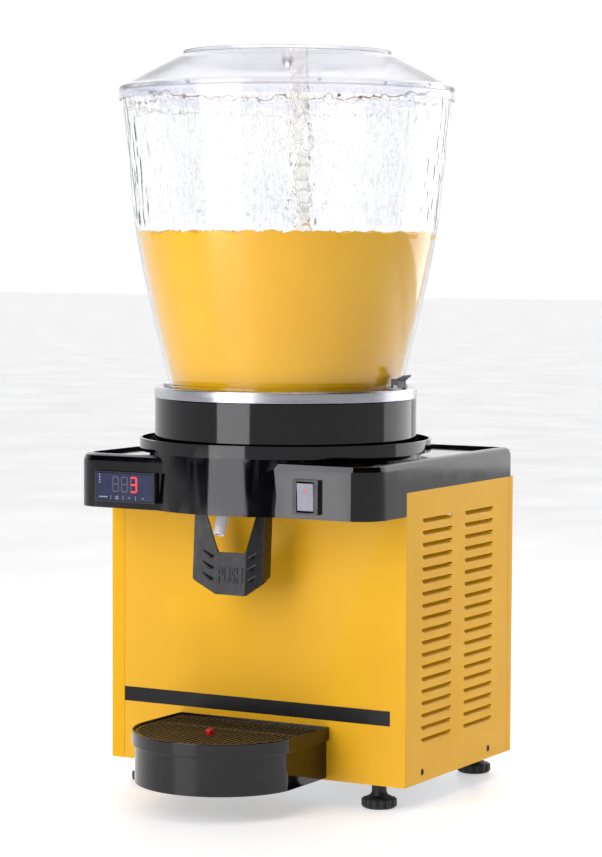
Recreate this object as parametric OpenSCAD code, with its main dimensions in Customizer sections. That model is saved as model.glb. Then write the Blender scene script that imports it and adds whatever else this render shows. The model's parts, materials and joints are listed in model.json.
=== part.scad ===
// Cold-drink dispenser with one clear tank, a chilled steel pan, a fountain pump and a push-lever tap.
// Millimetres. +Z is up, the front faces -Y, and Z = 0 is the surface that the feet stand on.

/* [Cabinet] */
// Width of the cabinet
body_w = 350; // [346:1:354]
// Depth of the cabinet, front panel to rear wall
body_d = 251; // [248:1:256]
// Height of the cabinet's lower edge above the table
body_low = 25; // [24:1:27]
// Height of the side panels' upper edge
panel_top = 322; // [320:1:323]
// Thickness of the cabinet's sheet steel
sheet_t = 1.2; // [1:0.1:1.5]

/* [Top cover] */
// Height of the cover's rim
cover_top = 353; // [352:1:354]
// Height of the fascia's lower edge
fascia_low = 298; // [296:1:300]
// How far the fascia stands in front of the front panel
fascia_reach = 74; // [72:1:76]
// Plan radius of the fascia's two front corners
fascia_r = 30; // [26:1:32]
// Wall thickness of the cover
cover_t = 3; // [2.5:0.1:3.2]

/* [Tank] */
// Distance of the tank's axis behind the front panel
tank_y = 63; // [62:1:64]
// Radius of the collar and of the steel pan's rim
collar_r = 136.8; // [136:0.1:138]
// Height of the pan's rim
rim_z = 421; // [420:1:423]
// Height of the tank's open top
tank_top = 725; // [718:1:725]
// Radius of the tank's open top
tank_r = 172; // [170:0.5:174]
// Wall thickness of the tank
tank_t = 3.5; // [3:0.1:4]
// Height of the drink's surface
juice_z = 580; // [560:1:590]

/* [Tap] */
// Height of the lever's pivot
pivot_z = 322; // [321:1:323]
// Half width of the push lever
lever_half = 41; // [40:0.5:41.5]
// Forward lean of the lever in degrees
lever_lean = 3.5; // [3:0.5:4]

/* [Drip tray] */
// Half width of the drip tray
tray_half = 89; // [88:0.5:89]
// Radius of the drip tray's round front
tray_r = 90; // [89:0.5:92]
// Height of the drip tray's rim
tray_top = 80; // [78:1:82]
// Height of the drip tray's lower edge
tray_low = 27; // [26:1:28]

/* [Hidden] */
$fn = 96;

hair = 0.01;
gap = 0.3;
half_w = body_w / 2;
in_w = half_w - sheet_t;

// the drip tray reaches forward and the cable gland backward: the origin lies midway
tray_arc_y = -66;
gland_reach = 8;
tray_reach = tray_r - tray_arc_y;
front_y = (tray_reach - body_d - gland_reach) / 2;

// cabinet seams
seam_x = -half_w + 16.3;
strip_d = 12;
panel_end = body_d - strip_d - gap;
front_panel_top = panel_top + 14;

// louvres
louvre_rows = 19;
louvre_pitch = 12.4;
louvre_low = 64.5;
louvre_w = 67;
louvre_h = 5.6;
louvre_depth = 5.2;
louvre_y = [35.5, 132.8];

// screws that hold the side panel
screw_ys = [38.7, 193.3];
screw_z = 35.6;

// cover levels
cover_floor_top = cover_top - 3;
cover_floor_low = cover_floor_top - 3;
dish_r = 152;
dish_floor = 358;
dish_lip = 368;
dish_hole_r = 133.5;
bulge_low_r = 154;
bulge_high_r = 151;

// chilled pan
pan_r = 124;
pan_floor = 376;
pan_t = 1;
band_low = rim_z - 11.2;
outlet_y = -52;
outlet_r = 6;
pump_off = 36;

// tank outline: a plug inside the pan, a foot flange on its rim, a swelling wall, a straight upper wall
plug_r = 121.2;
plug_low = 405;
foot_r = 127.5;
foot_low = rim_z + gap;
foot_t = 3;
wall_start = [121.5, foot_low + foot_t];
wall_pull_a = [136.3, 480];
wall_pull_b = [155.8, 565];
wall_end = [159.3, 600];

// lid
lid_r = 174;
skirt_low = 716;
skirt_t = 1.7;
lid_edge = 730;
lid_t = 2.5;
cap_r = 108;
cap_z = 762;
cap_top = 767;

// tap
pivot_y = -36;
pin_r = 3;
window_low = 61;
tube_bend_z = 318;
tube_lean = 23;
tube_end_z = 277;

// controls, on the fascia's flat wings
wing_face = -fascia_reach;
lens_c = [-107.8, 320.3];
bezel_size = [71.9, 31.3];
key_c = [103.1, 320.1];
frame_size = [28.4, 34.4];
case_size = [67, 27];
switch_size = [23, 32];
key_size = [18.4, 28.4];
controls_proud = 5;

// drip tray
band_h = 14;
tray_wall = 2.5;
tray_inset = 3;
basin_floor = 36;
grille_t = 4;
grille_top = tray_top - 2;
float_y = -88;
slot_pitch = 6.2;
slot_w = 3.4;

// feet
foot_pad_r = 18;
foot_x = 138;
foot_ys = [15.7, 235.7];

// cooling machine
compressor_at = [-78, 160];
compressor_r = 66;
condenser_x = 149;
fan_y = 120;
fan_z = 165;

// ---------- helpers ----------

// moves a piece from the front panel's frame to the part's origin
module from_front() {
    translate([0, front_y, 0]) children();
}

module on_tank_axis() {
    translate([0, front_y + tank_y, 0]) children();
}

module on_pump_axis() {
    translate([0, front_y + tank_y + pump_off, 0]) children();
}

// a box given by its lowest and highest corners
module slab(a, b) {
    translate(a) cube(b - a);
}

module tube(r_out, r_in, z0, z1) {
    translate([0, 0, z0]) difference() {
        cylinder(h = z1 - z0, r = r_out);
        translate([0, 0, -1]) cylinder(h = z1 - z0 + 2, r = r_in);
    }
}

// a straight rod between two points
module rod(a, b, r) {
    v = b - a;
    len = norm(v);
    translate(a) rotate([0, acos(v[2] / len), atan2(v[1], v[0])]) cylinder(h = len, r = r);
}

// a pipe of straight runs with round elbows
module pipe(points, r) {
    for (i = [0:len(points) - 2]) rod(points[i], points[i + 1], r);
    for (i = [1:len(points) - 2]) translate(points[i]) sphere(r = r);
}

module bar_x(x0, x1, y, z, r) {
    translate([x0, y, z]) rotate([0, 90, 0]) cylinder(h = x1 - x0, r = r);
}

module hole_y(x, z, r, y0, y1) {
    translate([x, y1, z]) rotate([90, 0, 0]) cylinder(h = y1 - y0, r = r);
}

// ---------- cabinet ----------

module plan_wrap() {
    translate([-half_w, 0]) square([sheet_t, body_d]);
    translate([-half_w, body_d - sheet_t]) square([body_w, sheet_t]);
    translate([-half_w, 0]) square([seam_x + half_w, sheet_t]);
    translate([half_w - sheet_t, body_d - strip_d]) square([sheet_t, strip_d]);
}

// the row of louvre openings, drawn across the sheet and up the panel
module louvre_windows() {
    for (i = [0:louvre_rows - 1])
        translate([-2 * sheet_t, louvre_low + i * louvre_pitch]) square([4 * sheet_t, louvre_h]);
}

// the pressed-in blade of each louvre: flush at its lower edge, deepest at its cut upper edge
module louvre_blades() {
    for (i = [0:louvre_rows - 1])
        translate([0, louvre_low + i * louvre_pitch])
            polygon([[0, -1], [0, 0], [-louvre_depth, louvre_h], [-louvre_depth - 1, louvre_h],
                [-louvre_depth - 1, louvre_h - 1.4], [-sheet_t, -1]]);
}

module louvre_cheeks() {
    for (i = [0:louvre_rows - 1])
        translate([0, louvre_low + i * louvre_pitch])
            polygon([[0, -0.5], [0, louvre_h], [-louvre_depth, louvre_h]]);
}

// turns a section drawn in (depth, height) into a run along Y on the outer face at x = 0
module along_y(y0, length) {
    translate([0, y0 + length, 0]) rotate([90, 0, 0]) linear_extrude(length) children();
}

module louvre_cuts() {
    for (y = louvre_y) along_y(y, louvre_w) louvre_windows();
}

module louvre_forms() {
    for (y = louvre_y) {
        along_y(y, louvre_w) louvre_blades();
        along_y(y, 1) louvre_cheeks();
        along_y(y + louvre_w - 1, 1) louvre_cheeks();
    }
}

module base_plate() {
    color("gainsboro") from_front() difference() {
        slab([-in_w, sheet_t, body_low], [in_w, body_d - sheet_t, body_low + 16]);
        slab([-in_w + 1.5, sheet_t + 1.5, body_low + 1.5],
            [in_w - 1.5, body_d - sheet_t - 1.5, body_low + 20]);
        for (x = [-foot_x, foot_x]) for (y = foot_ys)
            translate([x, y, body_low - 1]) cylinder(h = 5, r = 4.4);
        for (x = [-50, 50]) for (y = [-50, 50])
            translate([compressor_at[0] + x, compressor_at[1] + y, body_low - 1]) cylinder(h = 5, r = 3.2);
        for (i = [0:7])
            slab([40 + i * 10, 60, body_low - 1], [45 + i * 10, 190, body_low + 3]);
        for (y = screw_ys)
            translate([in_w - 3, y, screw_z]) rotate([0, 90, 0]) cylinder(h = 5, r = 1.8);
    }
}

module body_wrap() {
    color([0.98, 0.76, 0.1]) from_front() union() {
        difference() {
            translate([0, 0, body_low]) linear_extrude(panel_top - body_low) plan_wrap();
            translate([-half_w, 0, 0]) mirror([1, 0, 0]) louvre_cuts();
            for (x = [-107, -33, 41]) for (i = [0:9])
                slab([x, body_d - 3, 180 + i * 12], [x + 66, body_d + 1, 185 + i * 12]);
            hole_y(115, 62, 8.2, body_d - 3, body_d + 1);
        }
        translate([-half_w, 0, 0]) mirror([1, 0, 0]) louvre_forms();
    }
}

module front_panel() {
    color([0.98, 0.76, 0.1]) from_front() difference() {
        union() {
            slab([seam_x + gap, 0, body_low], [half_w, sheet_t, front_panel_top]);
            slab([seam_x + gap, 0, front_panel_top - sheet_t], [in_w - 1, 12, front_panel_top]);
        }
        slab([half_w - cover_t - gap, -1, panel_top], [half_w + 1, 20, front_panel_top + 1]);
        for (x = [-45, 45]) hole_y(x, 50, 2.2, -1, 3);
        for (x = [-30, 30]) hole_y(x, 328, 2.2, -1, 3);
    }
}

module side_panel() {
    color([0.98, 0.76, 0.1]) from_front() union() {
        difference() {
            slab([in_w, sheet_t + gap, body_low], [half_w, panel_end, panel_top]);
            translate([half_w, 0, 0]) louvre_cuts();
            for (y = screw_ys)
                translate([in_w - 1, y, screw_z]) rotate([0, 90, 0]) cylinder(h = 4, r = 3.8);
        }
        translate([half_w, 0, 0]) louvre_forms();
    }
}

module panel_screws() {
    color([0.15, 0.15, 0.16]) from_front() for (y = screw_ys) {
        difference() {
            bar_x(in_w, half_w - 0.1, y, screw_z, 3.4);
            translate([half_w - 0.6, y, screw_z]) rotate([0, 90, 0]) cylinder(h = 2, r = 1.6, $fn = 6);
        }
        bar_x(in_w - 9, in_w, y, screw_z, 1.7);
    }
}

module front_stripe() {
    color([0.05, 0.05, 0.07]) from_front()
        slab([seam_x + 0.6, -0.4, 86.3], [half_w - 17.3, 0, 101.4]);
}

// ---------- top cover ----------

// plan of the cover with round corners, drawn smaller by inset all round
module cover_plan(inset = 0) {
    rear_r = 10;
    y0 = -fascia_reach;
    front_c = [half_w - fascia_r, y0 + fascia_r];
    rear_c = [half_w - rear_r, body_d - rear_r];
    translate([-half_w + inset, front_c[1]]) square([body_w - 2 * inset, rear_c[1] - front_c[1]]);
    translate([-front_c[0], y0 + inset]) square([2 * front_c[0], fascia_r]);
    translate([-rear_c[0], rear_c[1] - 1]) square([2 * rear_c[0], rear_r + 1 - inset]);
    for (s = [-1, 1]) {
        translate([s * front_c[0], front_c[1]]) circle(r = fascia_r - inset);
        translate([s * rear_c[0], rear_c[1]]) circle(r = rear_r - inset);
    }
}

module cover_block() {
    straight = cover_top - 7;
    translate([0, 0, panel_top]) linear_extrude(straight - panel_top) cover_plan();
    hull() {
        translate([0, 0, straight]) linear_extrude(hair) cover_plan($fn = 48);
        translate([0, 0, cover_top - 2]) linear_extrude(hair) cover_plan(2, $fn = 48);
        translate([0, 0, cover_top - hair]) linear_extrude(hair) cover_plan(6, $fn = 48);
    }
    intersection() {
        translate([0, 0, fascia_low]) linear_extrude(panel_top - fascia_low + 1) cover_plan();
        slab([-half_w, -fascia_reach - 1, fascia_low], [half_w, -gap, panel_top + 1]);
    }
}

// the round front of the fascia, coaxial with the tank
module bulge(low_r, high_r, z0, z1) {
    intersection() {
        translate([0, tank_y, z0]) cylinder(h = z1 - z0, r1 = low_r, r2 = high_r);
        slab([-90, -120, z0], [90, -50, z1]);
    }
}

module top_cover() {
    color([0.07, 0.07, 0.08]) from_front() difference() {
        union() {
            difference() {
                cover_block();
                translate([0, 0, cover_floor_top]) linear_extrude(20) cover_plan(10);
                translate([0, 0, fascia_low - 1]) linear_extrude(cover_floor_low - fascia_low + 1)
                    cover_plan(cover_t);
            }
            bulge(bulge_low_r, bulge_high_r, fascia_low, dish_floor);
            translate([0, tank_y, 0]) {
                tube(142, 138, cover_floor_low, dish_floor - 2);
                tube(dish_r, dish_hole_r, dish_floor - 3, dish_floor);
                tube(dish_r, dish_r - 2.5, dish_floor - 3, dish_lip);
            }
        }
        bulge(bulge_low_r - cover_t, bulge_high_r - cover_t, fascia_low - 1, dish_floor - 3);
        translate([0, tank_y, 0]) {
            translate([0, 0, cover_floor_low - 1]) cylinder(h = dish_floor - 3 - cover_floor_low, r = 138);
            translate([0, 0, cover_floor_low - 1]) cylinder(h = 30, r = dish_hole_r);
            translate([0, 0, dish_floor]) cylinder(h = 20, r = dish_r - 2.5);
        }
        plate_on_wing(lens_c, case_size + [1, 1], wing_face - 2, wing_face + 56);
        plate_on_wing(key_c, switch_size + [1, 0.4], wing_face - 2, wing_face + 5);
        for (x = [-145, 145])
            translate([x, tank_y + pump_off, cover_floor_low - 1]) cylinder(h = 5, r = 2.2);
    }
}

module collar_ring() {
    color([0.06, 0.06, 0.07]) on_tank_axis() union() {
        tube(collar_r - 0.5, dish_hole_r + 0.3, dish_floor, band_low);
        tube(collar_r + 1.5, dish_hole_r + 0.3, dish_floor, dish_floor + 3);
    }
}

// ---------- chilled pan and tank ----------

module evaporator_pan() {
    color([0.8, 0.81, 0.83]) on_tank_axis() difference() {
        rotate_extrude() polygon([[0, pan_floor - pan_t], [pan_r + pan_t, pan_floor - pan_t],
            [pan_r + pan_t, rim_z - pan_t], [collar_r - pan_t, rim_z - pan_t],
            [collar_r - pan_t, band_low], [collar_r, band_low], [collar_r, rim_z - 1.5],
            [collar_r - 1.5, rim_z], [pan_r, rim_z], [pan_r, pan_floor], [0, pan_floor]]);
        translate([0, outlet_y - tank_y, pan_floor - 5]) cylinder(h = 10, r = 7.1);
    }
}

module pan_insulation() {
    foam_low = 341;
    foam_floor = 365;
    color([0.93, 0.88, 0.7]) on_tank_axis() difference() {
        translate([0, 0, foam_low]) cylinder(h = band_low - 1 - foam_low, r = dish_hole_r - gap);
        translate([0, 0, foam_floor]) cylinder(h = 60, r = pan_r + pan_t + 0.2);
        translate([0, pump_off, foam_low - 1]) cylinder(h = 60, r = 32);
        translate([0, outlet_y - tank_y, foam_low - 1]) cylinder(h = 60, r = 9.5);
        for (x = [-75, 75]) translate([x, 0, foam_low - 1]) cylinder(h = 60, r = 5);
        translate([0, 110, foam_low - 1]) cylinder(h = 60, r = 4);
    }
}

module evaporator_coil() {
    coil_z = pan_floor - pan_t - 4;
    color([0.78, 0.45, 0.3]) on_tank_axis() union() {
        for (r = [75, 86, 97]) translate([0, 0, coil_z]) rotate_extrude() translate([r, 0]) circle(r = 4);
        for (s = [-1, 1]) {
            rod([s * 75, 0, coil_z], [s * 97, 0, coil_z], 3);
            rod([s * 75, 0, 330], [s * 75, 0, coil_z], 3.2);
        }
    }
}

module temperature_probe() {
    color([0.75, 0.76, 0.78]) on_tank_axis() rod([0, 110, 332], [0, 110, pan_floor - pan_t], 3);
}

module outlet_spigot() {
    spigot_low = 336;
    color([0.85, 0.85, 0.86]) from_front() translate([0, outlet_y, 0]) difference() {
        union() {
            translate([0, 0, spigot_low]) cylinder(h = pan_floor - spigot_low, r = 4.5);
            translate([0, 0, pan_floor - 8]) cylinder(h = 8, r = 7);
            translate([0, 0, pan_floor]) cylinder(h = 1.5, r = 8.4);
        }
        translate([0, 0, spigot_low - 1]) cylinder(h = 60, r = 3.2);
    }
}

// soft tube pushed on the spigot, squeezed by the lever and leaning forward at its free end
module outlet_tube() {
    lean_len = (tube_bend_z - tube_end_z) / cos(tube_lean);
    color([0.92, 0.92, 0.9]) from_front() translate([0, outlet_y, 0]) difference() {
        union() {
            translate([0, 0, tube_bend_z]) cylinder(h = 366 - tube_bend_z, r = outlet_r);
            translate([0, 0, tube_bend_z]) sphere(r = outlet_r);
            translate([0, 0, tube_bend_z]) rotate([180 - tube_lean, 0, 0]) cylinder(h = lean_len, r = outlet_r);
        }
        translate([0, 0, 336]) cylinder(h = 40, r = 4.5);
        translate([0, 0, tube_bend_z]) cylinder(h = 40, r = 3.8);
        translate([0, 0, tube_bend_z]) sphere(r = 3.8);
        translate([0, 0, tube_bend_z]) rotate([180 - tube_lean, 0, 0]) cylinder(h = lean_len + 1, r = 3.8);
    }
}

// a point on the swelling part of the tank's outer wall, t from 0 to 1
function wall_at(t) = pow(1 - t, 3) * wall_start + 3 * pow(1 - t, 2) * t * wall_pull_a
    + 3 * (1 - t) * t * t * wall_pull_b + pow(t, 3) * wall_end;
wall_steps = 10;
wall_points = [for (i = [0:wall_steps]) wall_at(i / wall_steps)];

// the outer radius of the tank's straight upper wall at a height
function upper_r(z) = wall_end[0] + (tank_r - wall_end[0]) * (z - wall_end[1]) / (tank_top - wall_end[1]);

module tank() {
    inner = [for (i = [wall_steps:-1:0]) wall_points[i] - [tank_t, 0]];
    color([0.9, 0.93, 0.96, 0.35]) on_tank_axis() rotate_extrude() polygon(concat(
        [[plug_r, plug_low], [plug_r, foot_low], [foot_r, foot_low], [foot_r, foot_low + foot_t]],
        wall_points,
        [[tank_r, tank_top], [tank_r - tank_t, tank_top]],
        inner,
        [[plug_r - tank_t, foot_low], [plug_r - tank_t, plug_low]]));
}

module tank_seal() {
    color([0.2, 0.2, 0.2]) on_tank_axis() tube(pan_r - 0.2, plug_r, 410, 414);
}

module juice() {
    steps = [for (p = wall_points) if (p[1] < juice_z - 2) p - [tank_t, 0]];
    surface_t = max([for (i = [0:200]) if (wall_at(i / 200)[1] <= juice_z) i / 200]);
    color([1, 0.72, 0.05, 0.9]) on_tank_axis() difference() {
        rotate_extrude() polygon(concat(
            [[0, pan_floor + gap], [pan_r - gap, pan_floor + gap], [pan_r - gap, plug_low],
                [plug_r - tank_t, plug_low], [plug_r - tank_t, foot_low]],
            steps,
            [[wall_at(surface_t)[0] - tank_t, juice_z], [0, juice_z]]));
        translate([0, pump_off, pan_floor - 1]) cylinder(h = 32, r = 42);
        translate([0, pump_off, pan_floor - 1]) cylinder(h = 300, r = 8.6);
        translate([0, outlet_y - tank_y, pan_floor - 1]) cylinder(h = 4, r = 10.5);
    }
}

module lid() {
    color([0.93, 0.94, 0.96, 0.4]) on_tank_axis() union() {
        rotate_extrude() polygon([
            [lid_r, skirt_low], [lid_r, lid_edge - 2], [lid_r - 2, lid_edge],
            [cap_r + 3, cap_z], [cap_r, cap_z + 1], [cap_r + 0.5, cap_top], [cap_r - 3, cap_top],
            [cap_r - 4, cap_z + 1], [0, cap_z + 1], [0, cap_z - lid_t + 1], [cap_r - 4, cap_z - lid_t + 1],
            [lid_r - 8, lid_edge - 0.8], [lid_r - 6.5, tank_top + gap], [lid_r - skirt_t, tank_top + gap],
            [lid_r - skirt_t, skirt_low]]);
        translate([0, 0, cap_z - 8]) cylinder(h = 8, r1 = 3, r2 = 7);
    }
}

// ---------- tank latches ----------

latch_in = foot_r + 0.7;
latch_out = 136;
latch_half = 9;
latch_low = rim_z + 0.6;
latch_high = rim_z + 11;
latch_pin_x = latch_out - 2.2;
latch_pin_z = rim_z + 3;

module latch() {
    difference() {
        union() {
            slab([latch_in, -latch_half, latch_low + 1.2], [latch_out, latch_half, latch_high]);
            along_y(-latch_half + 1, 2 * latch_half - 2)
                polygon([[latch_out - 3, latch_high - 2.2], [latch_out, latch_high - 2.2],
                    [latch_out + 7, latch_high + 3], [latch_out + 6, latch_high + 4.2],
                    [latch_out - 3, latch_high - hair]]);
        }
        translate([latch_pin_x, latch_half + 1, latch_pin_z]) rotate([90, 0, 0])
            cylinder(h = 2 * latch_half + 2, r = 1.05);
        // the lower outer edge is cut away so that the latch can tip outward
        along_y(-latch_half - 1, 2 * latch_half + 2)
            polygon([[latch_out - 1, latch_low], [latch_out + 1, latch_low], [latch_out + 1, latch_low + 3]]);
    }
}

module latch_hinges() {
    color([0.5, 0.5, 0.52]) on_tank_axis() for (s = [0, 1]) mirror([s, 0, 0]) union() {
        for (y = [-latch_half - 2, latch_half + 0.5])
            slab([latch_pin_x - 2, y, rim_z], [latch_pin_x + 2, y + 1.5, latch_pin_z + 2]);
        translate([latch_pin_x, latch_half + 1, latch_pin_z]) rotate([90, 0, 0])
            cylinder(h = 2 * latch_half + 2, r = 1);
    }
}

module latch_left() {
    color([0.3, 0.31, 0.34]) on_tank_axis() mirror([1, 0, 0]) latch();
}

module latch_right() {
    color([0.3, 0.31, 0.34]) on_tank_axis() latch();
}

// ---------- fountain pump ----------

module pump_housing() {
    housing_r = 40;
    housing_top = 404;
    tube_top = juice_z - 8;
    color([0.9, 0.9, 0.92]) on_pump_axis() union() {
        difference() {
            union() {
                translate([0, 0, pan_floor]) cylinder(h = housing_top - pan_floor, r = housing_r);
                translate([0, 0, housing_top - 1]) cylinder(h = tube_top - housing_top + 1, r = 8);
            }
            translate([0, 0, pan_floor - 1]) cylinder(h = housing_top - pan_floor - 1, r = housing_r - 2);
            translate([0, 0, housing_top - 3]) cylinder(h = tube_top, r = 6.2);
            for (a = [0:60:300]) rotate([0, 0, a]) translate([housing_r - 6, 0, pan_floor + 9])
                rotate([0, 90, 0]) cylinder(h = 12, r = 5);
        }
        translate([0, 0, pan_floor]) cylinder(h = 26, r = 2);
        slab([-7, -1, pan_floor + 25], [7, 1, housing_top]);
    }
}

module impeller() {
    color([0.15, 0.3, 0.65]) on_pump_axis() difference() {
        union() {
            translate([0, 0, pan_floor + 1]) cylinder(h = 9, r = 24);
            translate([0, 0, pan_floor + 9]) cylinder(h = 9, r = 6);
            for (a = [0:60:300]) rotate([0, 0, a]) slab([4, -1, pan_floor + 9], [23, 1, pan_floor + 17]);
        }
        translate([0, 0, pan_floor]) cylinder(h = 30, r = 2.06);
    }
}

module pump_motor() {
    color([0.35, 0.36, 0.38]) on_pump_axis() difference() {
        union() {
            slab([-32, -26, 290], [32, 26, 322]);
            translate([0, 0, 282]) cylinder(h = 56, r = 21);
            for (x = [-26, 26]) translate([x, 0, 322]) cylinder(h = 16, r = 3);
        }
        translate([0, 0, 300]) cylinder(h = 60, r = 3.06);
    }
}

module drive_magnet() {
    color([0.2, 0.2, 0.22]) on_pump_axis() union() {
        translate([0, 0, 348]) cylinder(h = 20, r = 27);
        translate([0, 0, 301]) cylinder(h = 48, r = 3);
    }
}

module motor_bracket() {
    color([0.7, 0.71, 0.73]) on_pump_axis() difference() {
        union() {
            slab([-150, -26, 338], [150, 26, 340]);
            for (x = [-150, 140]) slab([x, -26, 338], [x + 10, 26, cover_floor_low]);
        }
        translate([0, 0, 330]) cylinder(h = 20, r = 12);
        for (x = [-145, 145]) translate([x, 0, 330]) cylinder(h = 20, r = 2.2);
        for (x = [-26, 26]) translate([x, 0, 339]) cylinder(h = 5, r = 1.6);
    }
}

// ---------- tap ----------

module tap_bracket() {
    cheek_x = lever_half + 2.5;
    color([0.7, 0.71, 0.73]) from_front() difference() {
        union() {
            slab([-cheek_x - 1.5, -42, 335], [cheek_x + 1.5, -sheet_t, 336.5]);
            slab([-cheek_x - 1.5, -1.5, 314], [cheek_x + 1.5, 0, 336.5]);
            for (x = [-cheek_x - 1.5, cheek_x]) {
                slab([x, -42, 312], [x + 1.5, 0, 336.5]);
                slab([x, -66, 312], [x + 1.5, -42, 326]);
            }
            bar_x(-cheek_x, cheek_x, -61.8, 318, 2.4);
        }
        bar_x(-60, 60, pivot_y, pivot_z, pin_r);
        for (x = [-30, 30]) hole_y(x, 328, 2.2, -4, 3);
    }
}

// screws that hold the tap's and the tray's brackets to the front panel, heads inside
module bracket_screws() {
    color([0.7, 0.71, 0.73]) from_front() for (at = [[-45, 50], [45, 50], [-30, 328], [30, 328]]) {
        hole_y(at[0], at[1], 1.9, -1.4, sheet_t + 1);
        hole_y(at[0], at[1], 3.5, sheet_t, sheet_t + 2);
    }
}

module pivot_pin() {
    color([0.78, 0.79, 0.8]) from_front() union() {
        bar_x(-46, 46, pivot_y, pivot_z, pin_r);
        for (x = [-47.5, 46]) bar_x(x, x + 1.5, pivot_y, pivot_z, 4.5);
    }
}

// front outline of the lever, pivot at the origin
module lever_face() {
    low = 109;
    low_side = 95;
    difference() {
        polygon([[-lever_half, 5], [-lever_half, -low_side + 1.5], [-lever_half + 1.8, -low_side - 0.9],
            [-17.5, -low], [17.5, -low], [lever_half - 1.8, -low_side - 0.9],
            [lever_half, -low_side + 1.5], [lever_half, 5]]);
        polygon([[-16, -window_low - 5], [16, -window_low - 5], [31, -22], [31, 6], [-31, 6], [-31, -22]]);
    }
}

// plan of the lever: a flat middle, two side facets turned towards the cup, and rear flanges
module lever_plan() {
    fold = 17.5;
    swing = 6;
    t = 3;
    polygon([[-lever_half, -swing], [-fold, 0], [fold, 0], [lever_half, -swing],
        [lever_half, 10], [lever_half - t, 10], [lever_half - t, t - swing + 1],
        [fold, t], [-fold, t], [-lever_half + t, t - swing + 1], [-lever_half + t, 10], [-lever_half, 10]]);
}

module push_lever() {
    color([0.07, 0.07, 0.08]) from_front() translate([0, pivot_y, pivot_z]) rotate([-lever_lean, 0, 0])
        difference() {
            union() {
                intersection() {
                    translate([0, -7, -120]) linear_extrude(130) lever_plan();
                    translate([0, 20, 0]) rotate([90, 0, 0]) linear_extrude(50) lever_face();
                }
                for (x = [-lever_half, lever_half - 6]) bar_x(x, x + 6, 0, 0, 7);
                for (x = [-lever_half, lever_half - 6]) slab([x, -8, -16], [x + 6, 3, 0]);
                bar_x(-lever_half + 1, lever_half - 1, -9.5, -13.5, 2.6);
            }
            bar_x(-60, 60, 0, 0, pin_r + 0.06);
            for (i = [0:2]) for (s = [-1, 1])
                translate([s * 29, -13.2, -88 + i * 13]) rotate([0, s * 30, 0]) cube([17, 3, 2.4], center = true);
        }
}

module lever_spring() {
    wire = 0.9;
    coil_r = 5.2;
    color([0.75, 0.76, 0.78]) from_front() translate([0, pivot_y, pivot_z]) union() {
        for (i = [0:8]) translate([-8 + i * 2, 0, 0]) rotate([0, 90, 0]) rotate_extrude($fn = 48)
            translate([coil_r, 0]) circle(r = 1.02, $fn = 16);
        rod([8, coil_r, 0], [8, 22, 11.5], wire);
        rod([-8, 0, -coil_r], [-8, -3.2, -12], wire);
    }
}

// ---------- controls ----------

module plate_on_wing(centre, size, y0, y1) {
    slab([centre[0] - size[0] / 2, y0, centre[1] - size[1] / 2],
        [centre[0] + size[0] / 2, y1, centre[1] + size[1] / 2]);
}

module controller_case() {
    color([0.1, 0.1, 0.11]) from_front() difference() {
        union() {
            plate_on_wing(lens_c, bezel_size, wing_face - controls_proud, wing_face);
            plate_on_wing(lens_c, case_size, wing_face - 1, wing_face + 55);
        }
        plate_on_wing(lens_c, bezel_size - [3, 3], wing_face - 6, wing_face - controls_proud + 1.2);
    }
}

module controller_lens() {
    color([0.25, 0.26, 0.36]) from_front()
        plate_on_wing(lens_c, bezel_size - [3.2, 3.2], wing_face - controls_proud - 0.1,
            wing_face - controls_proud + 1.2);
}

module switch_body() {
    color([0.08, 0.08, 0.09]) from_front() union() {
        difference() {
            union() {
                plate_on_wing(key_c, frame_size, wing_face - controls_proud, wing_face);
                plate_on_wing(key_c, switch_size, wing_face - 1, wing_face + 22);
            }
            plate_on_wing(key_c, key_size + [1, 2.2], wing_face - 10, wing_face + 10);
        }
        bar_x(key_c[0] - 10.5, key_c[0] + 10.5, wing_face + 1, key_c[1], 1);
    }
}

// rocker: two faces that meet in a shallow valley, one end pressed in
module switch_key() {
    half = key_size[1] / 2 - 0.4;
    color([0.62, 0.63, 0.66]) from_front() translate([key_c[0], wing_face + 1, key_c[1]]) difference() {
        translate([-key_size[0] / 2, 0, 0]) rotate([90, 0, 90]) linear_extrude(key_size[0])
            polygon([[-7.2, half], [-5.8, 0], [-5.4, -half], [0, -half + 2], [4, -3], [4, 3], [0, half - 2]]);
        bar_x(-20, 20, 0, 0, 1.05);
    }
}

// ---------- drip tray ----------

// plan of the tray: straight sides and a round front, drawn smaller by inset
module tray_plan(inset = 0, rear = 0.6) {
    intersection() {
        translate([-tray_half + inset, tray_arc_y - tray_r]) square([2 * (tray_half - inset), tray_reach - rear]);
        union() {
            translate([0, tray_arc_y]) circle(r = tray_r - inset);
            translate([-tray_half, tray_arc_y]) square([2 * tray_half, -tray_arc_y]);
        }
    }
}

module tray_bracket() {
    color([0.1, 0.1, 0.11]) from_front() difference() {
        union() {
            slab([-62, -2, tray_low + 2], [62, 0, tray_low + 33]);
            for (x = [-50, 30]) slab([x, -70, tray_low + 2], [x + 20, -1, basin_floor - gap]);
        }
        for (x = [-45, 45]) hole_y(x, 50, 2.2, -4, 3);
    }
}

module drip_tray() {
    step_z = tray_top - band_h;
    color([0.06, 0.06, 0.08]) from_front() difference() {
        union() {
            translate([0, 0, step_z]) linear_extrude(band_h) tray_plan();
            translate([0, 0, tray_low]) linear_extrude(step_z - tray_low + hair) tray_plan(tray_inset);
        }
        translate([0, 0, grille_top - grille_t - 0.2]) linear_extrude(20) tray_plan(tray_wall, 3.4);
        translate([0, 0, basin_floor + 2.5]) linear_extrude(60) tray_plan(tray_inset + tray_wall, 6);
        translate([0, 0, tray_low - 1]) linear_extrude(basin_floor - tray_low + 1)
            tray_plan(tray_inset + tray_wall, -1);
        slab([-70, -2.6, tray_low - 1], [70, 1, basin_floor + 28]);
    }
}

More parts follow.
